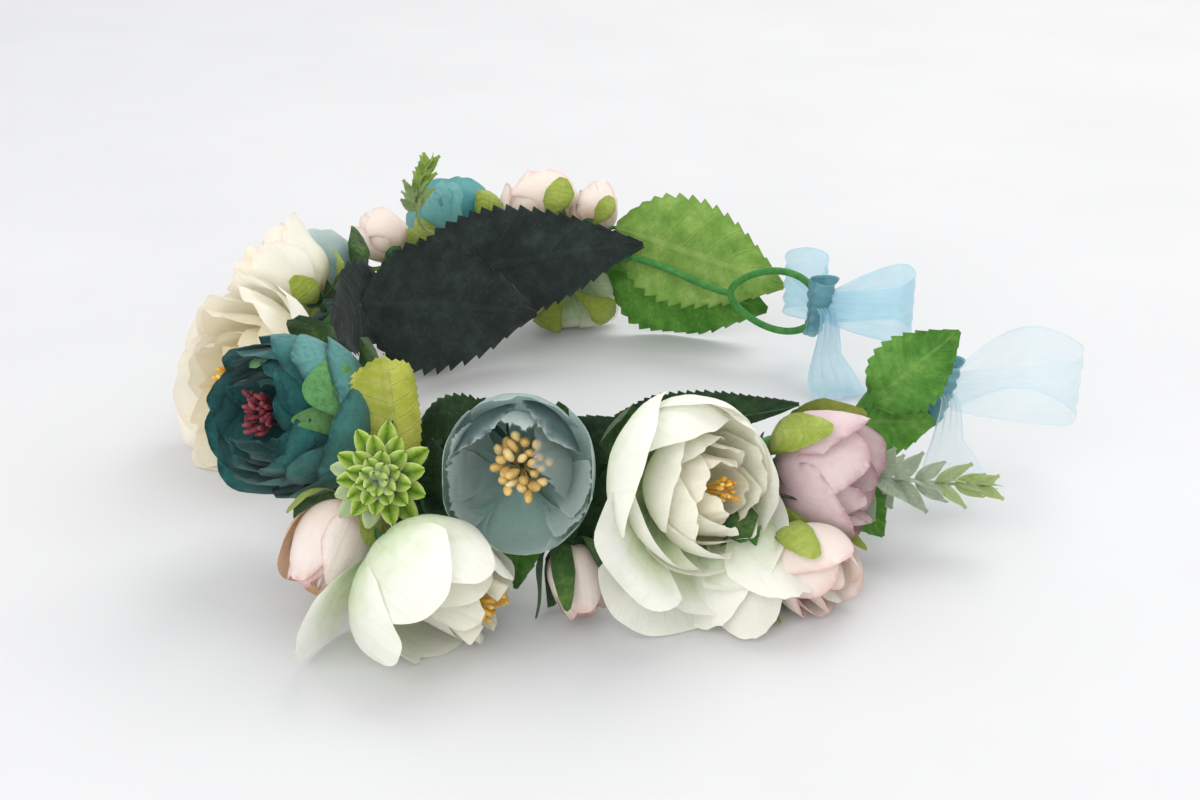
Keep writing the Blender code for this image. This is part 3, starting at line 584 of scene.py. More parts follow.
# ---- materials
def tone(code):
    """A colour from its six hexadecimal digits, as Blender's linear values."""
    values = [int(code[i:i + 2], 16) / 255 for i in (0, 2, 4)]
    return tuple(v / 12.92 if v <= 0.04045 else ((v + 0.055) / 1.055) ** 2.4 for v in values) + (1.0,)


class Value:
    """A node's output, which further nodes can take in sums."""

    def __init__(self, paint, socket):
        self.paint, self.socket = paint, socket

    def __add__(self, other):
        return self.paint.calc("ADD", self, other)

    def __sub__(self, other):
        return self.paint.calc("SUBTRACT", self, other)

    def __mul__(self, other):
        return self.paint.calc("MULTIPLY", self, other)

    def __pow__(self, other):
        return self.paint.calc("POWER", self, other)

    def __abs__(self):
        return self.paint.calc("ABSOLUTE", self)


class Paint:
    """A material under construction: each call adds a node and returns its output."""

    def __init__(self, name):
        self.material = bpy.data.materials.new(name)
        self.material.use_nodes = True
        self.tree = self.material.node_tree
        self.tree.nodes.clear()

    def feed(self, socket, value):
        """Links a value to a socket, or sets a number or a colour given by its digits."""
        if isinstance(value, Value):
            self.tree.links.new(value.socket, socket)
        else:
            socket.default_value = tone(value) if isinstance(value, str) else value

    def add(self, kind, settings=None, numbered=(), out=0, **named):
        """A node with its inputs fed by number or by name."""
        node = self.tree.nodes.new("ShaderNode" + kind)
        for key, value in (settings or {}).items():
            setattr(node, key, value)
        for index, value in numbered:
            self.feed(node.inputs[index], value)
        for key, value in named.items():
            self.feed(node.inputs[key.replace("_", " ")], value)
        return Value(self, node.outputs[out])

    def calc(self, operation, first, second=0.0, clamp=False):
        return self.add("Math", {"operation": operation, "use_clamp": clamp}, ((0, first), (1, second)))

    def blend(self, share, first, second, kind="MIX"):
        fed = ((0, share), (6, first), (7, second))
        return self.add("Mix", {"data_type": "RGBA", "blend_type": kind}, fed, 2)

    def span(self, value, low, high, to_low=0.0, to_high=1.0):
        """The value's place between low and high, smoothed and laid from to_low to to_high."""
        return self.add("MapRange", {"interpolation_type": "SMOOTHSTEP"},
                        enumerate((value, low, high, to_low, to_high)))

    def ramp(self, value, places, colours):
        made = self.add("ValToRGB", Fac=value)
        elements = made.socket.node.color_ramp.elements
        while len(elements) < len(places):
            elements.new(0.5)
        for element, place, colour in zip(elements, places, colours):
            element.position, element.color = place, tone(colour)
        return made

    def noise(self, vector, scale, detail=3.0, rough=0.55):
        return self.add("TexNoise", Vector=vector, Scale=scale, Detail=detail, Roughness=rough)

    def place(self):
        """The point's place on the object, on its petal (across, along), and its tint."""
        spot = self.add("TexCoord", out="Object")
        across = self.add("SeparateXYZ", Vector=self.add("UVMap", {"uv_map": "petal"}))
        tint = self.add("Attribute", {"attribute_name": "tint"}, out="Fac")
        return spot, across, Value(self, across.socket.node.outputs[1]), tint

    def weave(self, across, along, count):
        """A plain weave of this many threads across and along the petal."""
        vector = self.add("CombineXYZ", X=across, Y=along)
        warp, weft = (self.add("TexWave", {"bands_direction": way}, out=1, Vector=vector, Scale=count * 0.314,
                               Distortion=0.6, Detail=1.0) for way in "XY")
        return (warp + weft) * 0.5

    def end(self, colour, height, rough=0.85, bump=0.5, deep=0.0004, thin=0.0, sheen=0.3, specular=0.25,
            clear=0.0, metal=0.0):
        """The finished material: cloth that lets light through where thin, with gaps where clear."""
        normal = self.add("Bump", Strength=bump, Distance=deep, Height=height)
        shader = self.add("BsdfPrincipled", Base_Color=colour, Roughness=rough, Normal=normal, Metallic=metal,
                          Specular_IOR_Level=specular, Sheen_Weight=sheen, Sheen_Roughness=0.4)
        if thin:
            glow = self.add("BsdfTranslucent", Color=colour, Normal=normal)
            shader = self.add("MixShader", None, ((0, thin), (1, shader), (2, glow)))
        if clear:
            shader = self.add("MixShader", None, ((0, clear), (1, shader), (2, self.add("BsdfTransparent"))))
        self.feed(self.tree.nodes.new("ShaderNodeOutputMaterial").inputs[0], shader)
        return self.material


def petal_paint(name, deep, base, rim, edge, other, mottle=0.06, thin=0.25, edge_share=0.6, weave=0.4,
                threads=60, streaks=0.35, turns=(0.0, 0.38, 0.85), clear=0.0):
    """Dyed silk: deeper at the foot of the petal, paler to its rim, streaked along it, with a tinted edge."""
    paint = Paint(name)
    spot, across, along, tint = paint.place()
    cloud = paint.noise(spot, 210.0, 4.0, 0.6)
    blotch = paint.noise(spot, 620.0, 3.0, 0.65)
    lengthways = paint.add("CombineXYZ", X=across * 17.0, Y=along * 1.5, Z=tint * 37.0)
    streak = paint.noise(lengthways, 1.0, 5.0, 0.62)
    colour = paint.ramp(along + (cloud - 0.5) * 0.45 + (streak - 0.5) * 0.35, turns, (deep, base, rim))
    # Each petal's tint mixes in the silk's other colour; on the sage cup's folded top petals that colour is
    # partly painted shade.
    colour = paint.blend(paint.span(tint, 0.0, 1.0), colour, other)
    dark = paint.blend(1.0, colour, (0.62, 0.66, 0.66, 1), "MULTIPLY")
    colour = paint.blend(paint.span(blotch, 0.42, 0.72) * mottle, colour, dark)
    colour = paint.blend(paint.span(streak, 0.55, 0.75) * streaks, colour, dark)
    brink = paint.calc("MAXIMUM", abs(across * 2.0 - 1.0) ** 16.0, along ** 22.0)
    brink = brink * paint.span(cloud, 0.3, 0.6) * paint.span(along, 0.25, 0.6)
    colour = paint.blend(paint.calc("MULTIPLY", brink, edge_share, True), colour, edge)
    cloth = paint.weave(across, along, threads)
    colour = paint.blend(cloth * (weave * 0.35), colour, dark)
    height = streak * 1.6 + cloth * weave + blotch * 0.5
    return paint.end(colour, height, 0.86, 0.55, 0.00045, thin, 0.25, 0.2, clear)


def leaf_paint(name, deep, base, light, edge, veins=0.5, gloss=0.62, thin=0.12, weave=0.5, other=None):
    """Printed leaf cloth with a pale midrib, side veins and a woven face."""
    paint = Paint(name)
    spot, across, along, tint = paint.place()
    cloud = paint.noise(spot, 120.0, 4.0, 0.6)
    blotch = paint.noise(spot, 700.0, 3.0, 0.6)
    off = abs(across * 2.0 - 1.0)
    rib = paint.span(off, 0.03, 0.09, 1.0, 0.0)
    folded = paint.calc("PINGPONG", along * VEIN_PAIRS - off * 1.7, 0.5)
    line = paint.span(folded, 0.0, 0.07, 1.0, 0.0) * paint.span(off, 0.55, 1.0, 1.0, 0.25)
    vein = paint.calc("MAXIMUM", rib, line)
    colour = paint.ramp(cloud * 0.75 + blotch * 0.3, (0.32, 0.52, 0.74), (deep, base, light))
    if other:
        colour = paint.blend(paint.span(tint, 0.2, 0.9), colour, other)
    colour = paint.blend(vein * veins, colour, light)
    between_veins = paint.span(folded, 0.15, 0.5)
    colour = paint.blend(between_veins * 0.25, colour, deep)
    brink = off ** 14.0 * paint.span(cloud, 0.35, 0.6)
    colour = paint.blend(paint.calc("MULTIPLY", brink, 0.8, True), colour, edge)
    cloth = paint.weave(across, along, 70)
    colour = paint.blend(cloth * (weave * 0.3), colour, deep)
    height = vein * -1.3 + between_veins * 0.9 + (cloth + blotch) * 0.45
    return paint.end(colour, height, gloss, 0.6, 0.0005, thin, 0.15, 0.3)


def wrap_paint(name, base, light, dark, turns, rough=0.7):
    """Crepe paper or floral tape wound in a spiral, with stretch lines and a darker band along the edge of each
    turn.
    """
    paint = Paint(name)
    spot, around, along, _ = paint.place()
    edge = paint.calc("FRACT", along * turns + around)
    crease = paint.noise(paint.add("CombineXYZ", X=around * 3.0, Y=along * 14.0), 3.0, 4.0, 0.6)
    cloud = paint.noise(spot, 300.0)
    colour = paint.ramp(crease * 0.6 + cloud * 0.4, (0.3, 0.5, 0.72), (dark, base, light))
    colour = paint.blend(paint.span(edge, 0.0, 0.14, 1.0, 0.0) * 0.55, colour, dark)
    return paint.end(colour, edge * 1.2 + crease * 0.8, rough, 0.5, 0.0003, 0.0, 0.1, 0.3)


def bead_paint(name, deep, base, light):
    """Moulded starch beads, mottled, each of its own tone, with pale powdery specks."""
    paint = Paint(name)
    spot, _, _, tint = paint.place()
    grain = paint.noise(spot, 1900.0, 3.0, 0.6)
    value = paint.noise(spot, 520.0, 3.0, 0.6) * 0.7 + tint * 0.35
    colour = paint.ramp(value, (0.25, 0.5, 0.8), (deep, base, light))
    colour = paint.blend(paint.span(grain, 0.55, 0.8, 0.0, 0.35), colour, light)
    return paint.end(colour, grain, 0.6, 0.45, 0.0002, 0.0, 0.1, 0.35)


def flock_paint(name, deep, base, light, frost):
    """Flocked plastic: fuzzy, each leaf paler towards its two sides and darker along the middle of its faces.
    """
    paint = Paint(name)
    spot, across, _, tint = paint.place()
    fuzz = paint.noise(spot, 2600.0, 2.0, 0.7)
    shade = abs(across * 2.0 - 1.0) * 0.62 + paint.noise(spot, 500.0, 3.0, 0.6) * 0.45
    colour = paint.ramp(shade, (0.22, 0.5, 0.88), (deep, base, light))
    colour = paint.blend(paint.span(tint, 0.5, 1.0, 0.0, 0.75), colour, frost)
    colour = paint.blend(paint.span(fuzz, 0.55, 0.75, 0.0, 0.4), colour, light)
    return paint.end(colour, fuzz, 0.95, 0.8, 0.0004, 0.08, 0.8, 0.1)


def organza_paint(name, base, light, thread, clear):
    """Sheer ribbon: fine threads with gaps between, denser at its borders."""
    paint = Paint(name)
    spot, across, along, _ = paint.place()
    cloth = paint.weave(across, along * 3.0, 80)
    shade = paint.blend(paint.span(paint.noise(spot, 90.0), 0.3, 0.7), base, light)
    shade = paint.blend(cloth * 0.35, shade, thread)
    border = paint.span(abs(across * 2.0 - 1.0), 0.93, 0.97)
    gaps = paint.span(cloth, 0.2, 0.8, clear, clear * 0.75) * paint.span(border, 0.0, 1.0, 1.0, 0.45)
    return paint.end(shade, cloth, 0.45, 0.25, 0.0001, 0.45, 0.5, 0.4, gaps)


def steel_paint(name):
    """Bright drawn wire."""
    paint = Paint(name)
    drawn = paint.noise(paint.place()[0], 900.0, 4.0)
    colour = paint.ramp(drawn, (0.3, 0.7), ("6d7073", "a8abad"))
    return paint.end(colour, drawn, 0.35, 0.2, 0.0001, sheen=0.0, metal=1.0)


BUD_CLOTH = {"streaks": 0.14, "weave": 0.2, "threads": 90}
SILKS = {
    name: petal_paint(name, *colours.split(), **look) for name, colours, look in (
        ("teal_silk", "0e3a3c 225f5d 3b807d 0c3637 5f9a96",
         {"mottle": 0.8, "thin": 0.12, "edge_share": 0.95, "streaks": 0.6}),
        ("teal_silk_light", "2c6f70 43898a 5fa3a2 2f7274 74b0ae",
         {"mottle": 0.4, "thin": 0.15, "edge_share": 0.5, "streaks": 0.4}),
        ("teal_silk_green", "2c665a 528a5e 68a061 3f7f4c 84b26c",
         {"mottle": 1.0, "thin": 0.15, "edge_share": 0.4}),
        # sage_silk's last colour, 3f6261, darkens the cup's folded top petals: partly their deeper dye, partly
        # painted shade on their backs.
        ("sage_silk", "95bbb2 b2d0c9 c6ddd7 e2ecea 3f6261",
         {"mottle": 0.22, "thin": 0.4, "edge_share": 0.85, "weave": 0.5, "threads": 110}),
        ("sage_silk_pale", "93b7af b1cbc5 c9dbd6 e3edeb 86a9a3",
         {"mottle": 0.2, "thin": 0.34, "edge_share": 0.85, "weave": 0.8, "threads": 80}),
        ("sage_silk_sheer", "a5c2bc b9d0cb cfdfdb e5eeec a5c2bc",
         {"mottle": 0.2, "thin": 0.35, "edge_share": 0.8, "weave": 1.0, "threads": 80, "clear": 0.46}),
        ("white_silk", "93b572 dce8c4 fafaf1 fbf8e6 f8f2da",
         {"thin": 0.36, "edge_share": 0.4, "streaks": 0.16, "weave": 0.15, "threads": 110,
          "turns": (0.06, 0.42, 0.8)}),
        ("cream_silk", "dfc076 f5f0d8 fbf9ee f0d4c2 f9efc8",
         {"thin": 0.36, "edge_share": 0.5, "streaks": 0.12, "weave": 0.15, "threads": 110,
          "turns": (0.0, 0.26, 0.7)}),
        ("blush_silk", "e0cba8 f8e9de fcf1e9 e2a5a0 f8ead9", {"thin": 0.34, "edge_share": 0.7, **BUD_CLOTH}),
        ("peach_silk", "e6c3a0 fae9df fdf4ee dc9894 f9e3cf", {"thin": 0.32, "edge_share": 0.8, **BUD_CLOTH}),
        ("tan_silk", "c98f58 dcab7c edcaa6 c78f7c e6bb90", {**BUD_CLOTH, "mottle": 0.2, "streaks": 0.3}),
        ("mauve_silk", "c593a1 e2bec7 f2dcdd a26474 f6e6e2",
         {"mottle": 0.12, "thin": 0.28, "edge_share": 0.85, "streaks": 0.18, "threads": 90}),
        ("mauve_silk_deep", "a87486 bd8c9b cda3ae 94546a d9b3bd",
         {"mottle": 0.2, "thin": 0.2, "edge_share": 0.85, "streaks": 0.25, "threads": 90}),
    )
}
SILK_SETS = {
    ("ranunculus", "teal"): "teal_silk teal_silk_green",
    ("ranunculus", "teal_light"): "teal_silk_light teal_silk_light",
    ("cup", "sage"): "sage_silk sage_silk_pale sage_silk_sheer", ("back_cup", "sage"): "sage_silk_pale",
    ("open_bud", "peach"): "peach_silk tan_silk", ("fat_bud", "mauve"): "mauve_silk mauve_silk_deep",
    ("fat_bud", "blush"): "blush_silk blush_silk",
}
SILK_SLOTS = {"teal_light": "teal_silk", "peach": "blush_silk"}
LEAF_PAINTS = {
    key: leaf_paint(name, *colours.split(), *look) for key, name, colours, *look in (
        ("chartreuse", "chartreuse_leaf_cloth", "b0b842 cdd25a e0e38c c59a78", 0.45, 0.62, 0.2),
        ("dark", "dark_leaf_cloth", "161e1b 232d29 36443e 33423b", 0.25, 0.75, 0.12, 0.3),
        ("woven", "woven_leaf_cloth", "1d3321 2f4b2d 4d6c43 41603a", 0.3, 0.75, 0.12, 1.0),
        ("green", "green_leaf_cloth", "3a6a22 558f33 86b558 669c46", 0.5, 0.62, 0.2),
        ("yellow_green", "light_leaf_cloth", "5f8a36 82a84a a9c46c 7c9f48", 0.45, 0.62, 0.2),
        ("dusty", "dusty_leaf_cloth", "a3b298 bccab0 d8e2c6 cfdf9c", 0.25, 0.62, 0.3, 0.5, "bcd180"),
        ("fresh", "fresh_sprig_cloth", "8fa884 a5bd7c cbdc96 b5d070", 0.25, 0.62, 0.3, 0.5, "a8c94e"),
        # A darker copy of the light-leaf cloth for the lower light leaf: painted shade under the upper leaf.
        ("low_green", "low_leaf_cloth", "33611c 4b8629 78ab48 5a9138", 0.4, 0.62, 0.15),
    )
}
LEAF_SLOTS = {"chartreuse": "leaf_chartreuse", "dark": "leaf_dark", "woven": "leaf_dark"}
SEPALS = {
    "lime": leaf_paint("lime_sepal_cloth", "86983a", "a2b348", "bfca70", "8fa03c", veins=0.12),
    "green": leaf_paint("green_sepal_cloth", "24401f", "3b6129", "6b8b42", "3d6429", veins=0.15),
    "dark": leaf_paint("dark_bract_plastic", "173c29", "1f4a35", "3c7250", "2a5a3c", veins=0.3, gloss=0.45),
}
STEM = wrap_paint("stem_plastic", "2a5a2b", "3f7438", "1b3f20", 0.4, rough=0.5)
TAPE = wrap_paint("floral_tape_crepe", "3d7a36", "5c9a4a", "245624", 1.6)
COVER = wrap_paint("paper_cover_crepe", "3a7d35", "5a9a48", "22571f", 2.2)
BEADS = {
    "burgundy": bead_paint("burgundy_stamens", "3a0d14", "6e1f2b", "97434a"),
    "tan": bead_paint("tan_stamens", "b98c46", "dcba70", "efdba4"),
    "gold": bead_paint("gold_stamens", "c27a1c", "e8b23a", "f5dd7c"),
}
FLOCK = flock_paint("flocked_green", "4c6f1c", "86a636", "c6d873", "b9c3a4")
ORGANZA = organza_paint("pale_blue_organza", "d2ebf1", "bfe0ea", "edf7fa", 0.74)
ORGANZA_FAR = organza_paint("soft_blue_organza", "b5deea", "9bd0e2", "dff2f7", 0.42)
ORGANZA_DENSE = organza_paint("gathered_blue_organza", "78b2bd", "4f929f", "b4d8de", 0.1)
STEEL = steel_paint("steel_wire_bright")


# ---- blooms
# How many sepals a bloom has, how far they reach up its sides, and how far they stand off it.
SEPAL_HABITS = {
    "ranunculus": (5, 0.3, 0.42, 1.0), "cup": (4, 0.18, 0.28, 0.95), "peony": (2, 0.2, 0.34, 0.96),
    "low_peony": (0, 0, 0, 1.0), "side_peony": (4, 0.2, 0.4, 0.98), "open_peony": (4, 0.16, 0.26, 0.95),
    "rose": (4, 0.16, 0.26, 0.95), "back_cup": (4, 0.3, 0.5, 1.0), "bud": (3, 0.3, 0.5, 1.0),
    "fat_bud": (4, 0.55, 0.8, 1.0), "open_bud": (4, 0.35, 0.6, 1.02), "tucked_bud": (6, 0.75, 1.02, 0.96),
    "teal_ranunculus_back": (3, 0.35, 0.5, 0.97), "blush_bud_left": (2, 0.25, 0.35, 0.92),
}
LIME_BACK = ("teal_ranunculus_back", "white_peony_back", "cream_rose")


def add_stem(maker, base, facing, angle, inside):
    """A stem from inside a bloom, straight behind it, then bent to the wire."""
    bend = base - facing * STEM_STRAIGHT
    end = beside_wire(angle, bend, STEM_RADIUS)
    control = bend - facing * (bend - end).length * 0.45
    maker.tube([base + facing * inside, bend] + bezier(bend, control, end, 7)[1:], STEM_RADIUS, 8, 0.0, 1)


def add_sepals(bloom, place):
    """The leafy calyx under a bloom, and its stem to the wire."""
    maker = Maker()
    radius, depth = bloom.radius * 1.04, bloom.depth
    lime = bloom.name in LIME_BACK or (bloom.kind.endswith("bud") and bloom.name != "tucked_bud")
    count, low, high, open_out = SEPAL_HABITS.get(bloom.name, SEPAL_HABITS[bloom.kind])
    for index in range(count):
        key = bloom.angle + index * 3.3
        turn = 36 + 360 * index / count + spread(-14, 14, key, 1)
        reach = spread(low, high, key, 2)
        waist, tip = 1.22 * radius * open_out, 1.1 * radius * open_out ** 2
        spine = ((0.001, -0.0012), (1.02 * radius, -0.0026), (waist, 0.3 * reach * depth), (tip, reach * depth))
        curl, tint = spread(0.0, 0.3, key, 3), spread(0, 0.4, key, 4)
        add_petal(maker, place, Petal(turn, 24, spine, 1.0, 0.62, curl, 0.015, 0.2, tint, key), 8, 12)
    for index in range(3 if bloom.name == "mauve_bud" else 0):
        spine = ((0.001, -0.003), (0.8 * radius, -0.005), (1.12 * radius, 0.0),
                 (1.18 * radius, spread(0.1, 0.24, index) * depth))
        bract = Petal(58 + 36 * index, 22, spine, 1.0, 0.7, 0.3, 0.0, 0.1, 0.0, index)
        add_petal(maker, place, bract, 8, 10, 2)
    facing = place.to_3x3().col[2].normalized()
    base = place.translation
    add_stem(maker, base, facing, bloom.stem_angle, 0.001)
    maker.bead(base - facing * 0.0002, facing, 0.0022, 0.0036, 0.0, 1)
    cloths = [SEPALS["lime" if lime else "green"], STEM, SEPALS["dark"]]
    maker.build(bloom.name + "_sepals", "calyx_green", cloths, [bloom.name + "_calyx"])


Bunch = namedtuple("Bunch", "name paint count foot reach fan bead_length bead_width splay centre")
BUNCHES = (
    Bunch("teal_ranunculus", "burgundy", 38, 0.016, 0.011, 0.46, 0.0019, 0.0008, 0.9, (0.0, -0.0015)),
    Bunch("sage_cup", "tan", 26, 0.004, 0.012, 0.66, 0.0026, 0.0013, 1.1, (0.002, -0.0005)),
    Bunch("white_peony", "gold", 14, 0.013, 0.0095, 0.3, 0.0016, 0.0006, 0.6, (0.0, 0.0)),
    Bunch("low_peony", "gold", 20, 0.0215, 0.0115, 0.4, 0.0014, 0.0006, 0.6, (0.0, 0.0)),
    Bunch("cream_peony", "gold", 26, 0.013, 0.0125, 0.45, 0.0016, 0.0007, 0.6, (0.0, 0.0)),
)


def add_stamens(bunch):
    """A bunch of beads on threads in the heart of a bloom, each bead leaning its own way."""
    bloom = BY_NAME[bunch.name]
    place = bloom_places(bloom)[1]
    maker = Maker()
    for index in range(bunch.count):
        turn = GOLDEN_TURN * index
        length = bunch.reach * spread(0.78, 1.08, index, bloom.angle)
        x, y = bunch.centre
        root = Vector((x + 0.0006 * cos(turn), y + 0.0006 * sin(turn), bunch.foot))
        tip = root + leaning(bunch.fan * sqrt((index + 0.5) / bunch.count), turn) * length
        middle = root.lerp(tip, 0.5) + Vector((0, 0, length * 0.1))
        points = [place @ p for p in bezier(root, middle, tip, 5)]
        maker.tube(points, 0.00022, 5, 0.5)
        tilt = bunch.splay * spread(0.2, 1.0, index, 3)
        ahead = place.to_3x3() @ leaning(tilt, turn + spread(-0.9, 0.9, index, 4))
        long, wide = spread(0.85, 1.1, index, 6), spread(0.9, 1.15, index, 7)
        maker.bead(points[-1] + ahead.normalized() * bunch.bead_length * 0.4, ahead, bunch.bead_length * long,
                   bunch.bead_width * wide, hash01(index, 5), groove=0.25)
    maker.build(bloom.name + "_anthers", "stamen_beads", [BEADS[bunch.paint]], [bloom.name + "_stamens"])


def bloom_places(bloom):
    """The frames of a bloom's outer petals and of its heart."""
    facing = direction(bloom.angle, bloom.yaw, bloom.pitch)
    base = place_at(bloom.angle, bloom.out, bloom.height) - facing * bloom.depth / 2
    shape = SHAPES.get(bloom.name, Shape())
    outer = frame_at(base, facing, UP) @ Matrix.Diagonal((shape.tall, shape.wide, 1, 1))
    outer = outer @ Matrix.Scale(shape.size, 4)
    tip = turn_about("X", shape.heart_side) @ turn_about("Y", shape.heart_up)
    aside = Matrix.Translation((0, -bloom.radius * radians(shape.heart_side) * 0.25, 0))
    return outer, outer @ aside @ tip


def add_bloom(bloom):
    outer, heart = bloom_places(bloom)
    maker = Maker()
    seed = abs(bloom.angle) * 0.37
    singles = SINGLE.get(bloom.kind, ())
    for index, one in enumerate(singles):
        shares = one.spine if len(one.spine) == 4 else (SPINE_ROOT,) + one.spine
        spine = tuple((out * bloom.radius, up * bloom.depth) for out, up in shares)
        petal = Petal(one.turn, one.half, spine, one.flat, one.tip, one.curl, one.ruffle, 0.3, one.tint,
                      seed + index * 2.1, one.fray, one.foot)
        lines = add_petal(maker, outer, petal, 22, 22, one.slot)
        if one.fray > 0.04:
            ahead = (lines[-1][11] - lines[-4][11]).normalized()
            add_fringe(maker, lines[-1], ahead, one.tint, seed + index, one.slot)
    add_layers(maker, heart if singles else outer, bloom, seed)
    silks = SILK_SETS.get((bloom.kind, bloom.silk), bloom.silk + "_silk").split()
    replaced = [f"{bloom.name}_{part}" for part in bloom.parts.split() if part != "stamens"]
    maker.build(bloom.name + "_silk", SILK_SLOTS.get(bloom.silk, bloom.silk + "_silk"),
                [SILKS[name] for name in silks], replaced)
    add_sepals(bloom, outer)


for one in BLOOMS:
    add_bloom(one)
BY_NAME = {one.name: one for one in BLOOMS}
for one in BUNCHES:
    add_stamens(one)


# ---- leaves
def leaf_rows(length, width, teeth, fold, bend, seed, columns=16, blunt=False):
    """Points of a toothed leaf along X that looks along Z, with puffed cloth between its side veins."""
    def at(share, side):
        across = 2 * side - 1
        off = abs(across)
        outline = sin(pi * (0.02 + 0.96 * share) ** 0.85)
        if blunt:
            outline = between(0.34, 1.0, ease(share / 0.6)) * (1 - 0.22 * share ** 12)
        saw = (share * teeth) % 1.0 if teeth > 4 else 0.0
        half = max(0.0006, width / 2 * outline * (1 - (0.13 * saw + 0.02) * off ** 10))
        sweep = -0.08 * length * off * (1 - share) * min(1, 4 * share)
        if blunt:
            sweep -= length * share ** 6 * (0.06 * off ** 2 + 0.035 * ((across * 4.5) % 1.0))
        lift = fold * half * off + bend * length * 4 * (share - 0.5) ** 2 - bend * length
        puff = abs(sin(pi * (share * 8 - off * 1.7)))
        lift += 0.00055 * puff * (1 - off ** 4) * min(1, off * 5) * outline
        spot = Vector((share * 3.1 + seed, across * 1.4, seed * 0.7))
        lift += 0.045 * width * noise.noise(spot * 1.6) * (0.3 + off)
        return Vector((length * share + sweep, half * across, lift))

    return lattice(teeth * 6, columns, at)


def add_leaf(leaf):
    base, heading, face = stance(leaf)
    place = frame_at(base, face - heading * face.dot(heading), heading)
    maker = Maker()
    rolled = leaf.paint == "chartreuse"
    rows, marks = leaf_rows(leaf.length, leaf.width, leaf.teeth, leaf.fold, leaf.bend, leaf.angle * 0.13,
                            blunt=rolled)
    if rolled:
        rows = [[roll_side(p, leaf.width) for p in row] for row in rows]
    maker.grid([[place @ p for p in row] for row in rows], marks)
    end = beside_wire(leaf.stalk_angle, base, STALK_RADIUS)
    control = base - heading * (base - end).length * 0.4
    rib = [place @ (rows[k][len(rows[k]) // 2] - Vector((0, 0, 0.0009 - 0.0005 * k / len(rows))))
           for k in range(0, len(rows), 6)]
    stalk = list(reversed(bezier(base, control, end, 6)))[:-1]
    maker.tube(stalk + rib, lambda share: STALK_RADIUS * (1 - 0.75 * share), 8, 0.0, 1)
    replaced = [leaf.name] if leaf.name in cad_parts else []
    slot = LEAF_SLOTS.get(leaf.paint, "leaf_green")
    maker.build(leaf.name + "_cloth", slot, [LEAF_PAINTS[leaf.paint], STEM], replaced)


def roll_side(point, width):
    """Folds one side of a leaf back on itself."""
    edge = -0.22 * width
    if point.y > edge:
        return point
    over = (edge - point.y) / width
    turn = over * 4.2
    return Vector((point.x, edge - 0.16 * width * sin(turn), point.z - 0.16 * width * (1 - cos(turn))))


for one in LEAVES + FILLERS:
    add_leaf(one)


def add_sprig(sprig):
    """A stem with whorls of narrow leaves, which are bigger at its foot and paler at its tip."""
    base, heading, face = stance(sprig)
    foot = beside_wire(sprig.angle, base, STALK_RADIUS)
    place = frame_at(foot, face - heading * face.dot(heading), heading)
    start = place.inverted() @ base
    control = start - Vector(((base - foot).length * 0.6, 0, 0))
    spine = sprig.length * 0.8

    def along(share):
        return start + Vector((spine * share, sprig.bow * sin(pi * share ** 0.7), 0.0006 * sin(6 * share)))

    points = bezier(Vector((0, 0, 0)), control, start, 6) + [along(k / 9) for k in range(1, 10)]
    maker = Maker()
    maker.tube([place @ p for p in points], 0.0007, 8, 0.3, taper=0.6)
    for whorl in range(sprig.pairs):
        share = (whorl + 0.6) / sprig.pairs
        if sprig.bow and share < 0.36:
            continue
        ahead = along(share + 0.02) - along(share)
        lean = Matrix.Rotation(atan2(ahead.y, ahead.x), 4, "Z")
        broad = sprig.leaf_width * between(1.45, 0.8, ease(share * 1.5))
        for arm in range(4):
            key = whorl * 5 + arm
            tilt = between(66, 26, share) + spread(-9, 9, key)
            roll = 90 * arm + 45 * (whorl % 2) + spread(-16, 16, key, 2)
            local = Matrix.Translation(along(share)) @ lean @ turn_about("X", roll) @ turn_about("Z", tilt)
            long = sprig.leaf_length * (1 - 0.35 * share ** 2) * spread(0.85, 1.1, key, 4)
            rows, marks = leaf_rows(long, broad, 3, 0.25, 0.1, key, 8)
            tint = ease((share - 0.35) * 2.2) * spread(0.75, 1.0, key, 3)
            maker.grid([[place @ local @ p for p in row] for row in rows], marks, tint)
    maker.build(sprig.name + "_foliage", "sprig_green", [LEAF_PAINTS[sprig.paint], STEM], [sprig.name],
                sprig.body)


for one in SPRIGS:
    add_sprig(one)


def add_fat_leaf(maker, place, index, share, radius, depth):
    """A flocked leaf, round in section with a keel, and the hairs that stand out from it."""
    turn = GOLDEN_TURN * index
    length = radius * between(0.6, 1.02, share) * spread(0.92, 1.08, index)
    root = Vector((0, 0, depth * between(0.75, 0.3, share)))
    ahead = leaning(radians(between(8, 98, share ** 0.8)), turn)
    side = Vector((-sin(turn), cos(turn), 0))
    face = ahead.cross(side)
    rows, marks = [], []
    for step in range(11):
        along = step / 10
        swell = max(0.04, sin(pi * min(1.0, 0.1 + 0.9 * along) ** 1.45)) ** 0.55
        wide = 0.003 * swell * between(0.7, 1.0, share)
        centre = root + ahead * length * along - face * 0.0018 * (along ** 2) * between(0.3, -1.0, share)
        arounds = [tau * k / 12 for k in range(12)]
        rows.append([place @ (centre + side * wide * cos(around)
                              + face * (0.0012 * swell) * sin(around) * (1 - 0.25 * abs(cos(around)) ** 6))
                     for around in arounds])
        marks.append([(0.5 + 0.5 * cos(around), along) for around in arounds])
    frosty = 0.9 if share > 0.72 and cos(turn - radians(110)) > 0.2 else 0.1
    maker.grid(rows, marks, frosty, closed=True)
    for hair in range(26):
        base = rows[2 + int(8 * hash01(index, hair))][int(11.99 * hash01(index, hair, 2))]
        outwards = (base - place @ (root + ahead * length * 0.4)).normalized()
        tip = base + outwards * spread(0.0003, 0.0008, index, hair, 3)
        thin = side * 0.00005
        maker.grid([[base - thin, base + thin], [tip, tip + thin * 0.3]], [[(0.9, 0.9)] * 2] * 2,
                   0.4 + 0.5 * frosty)


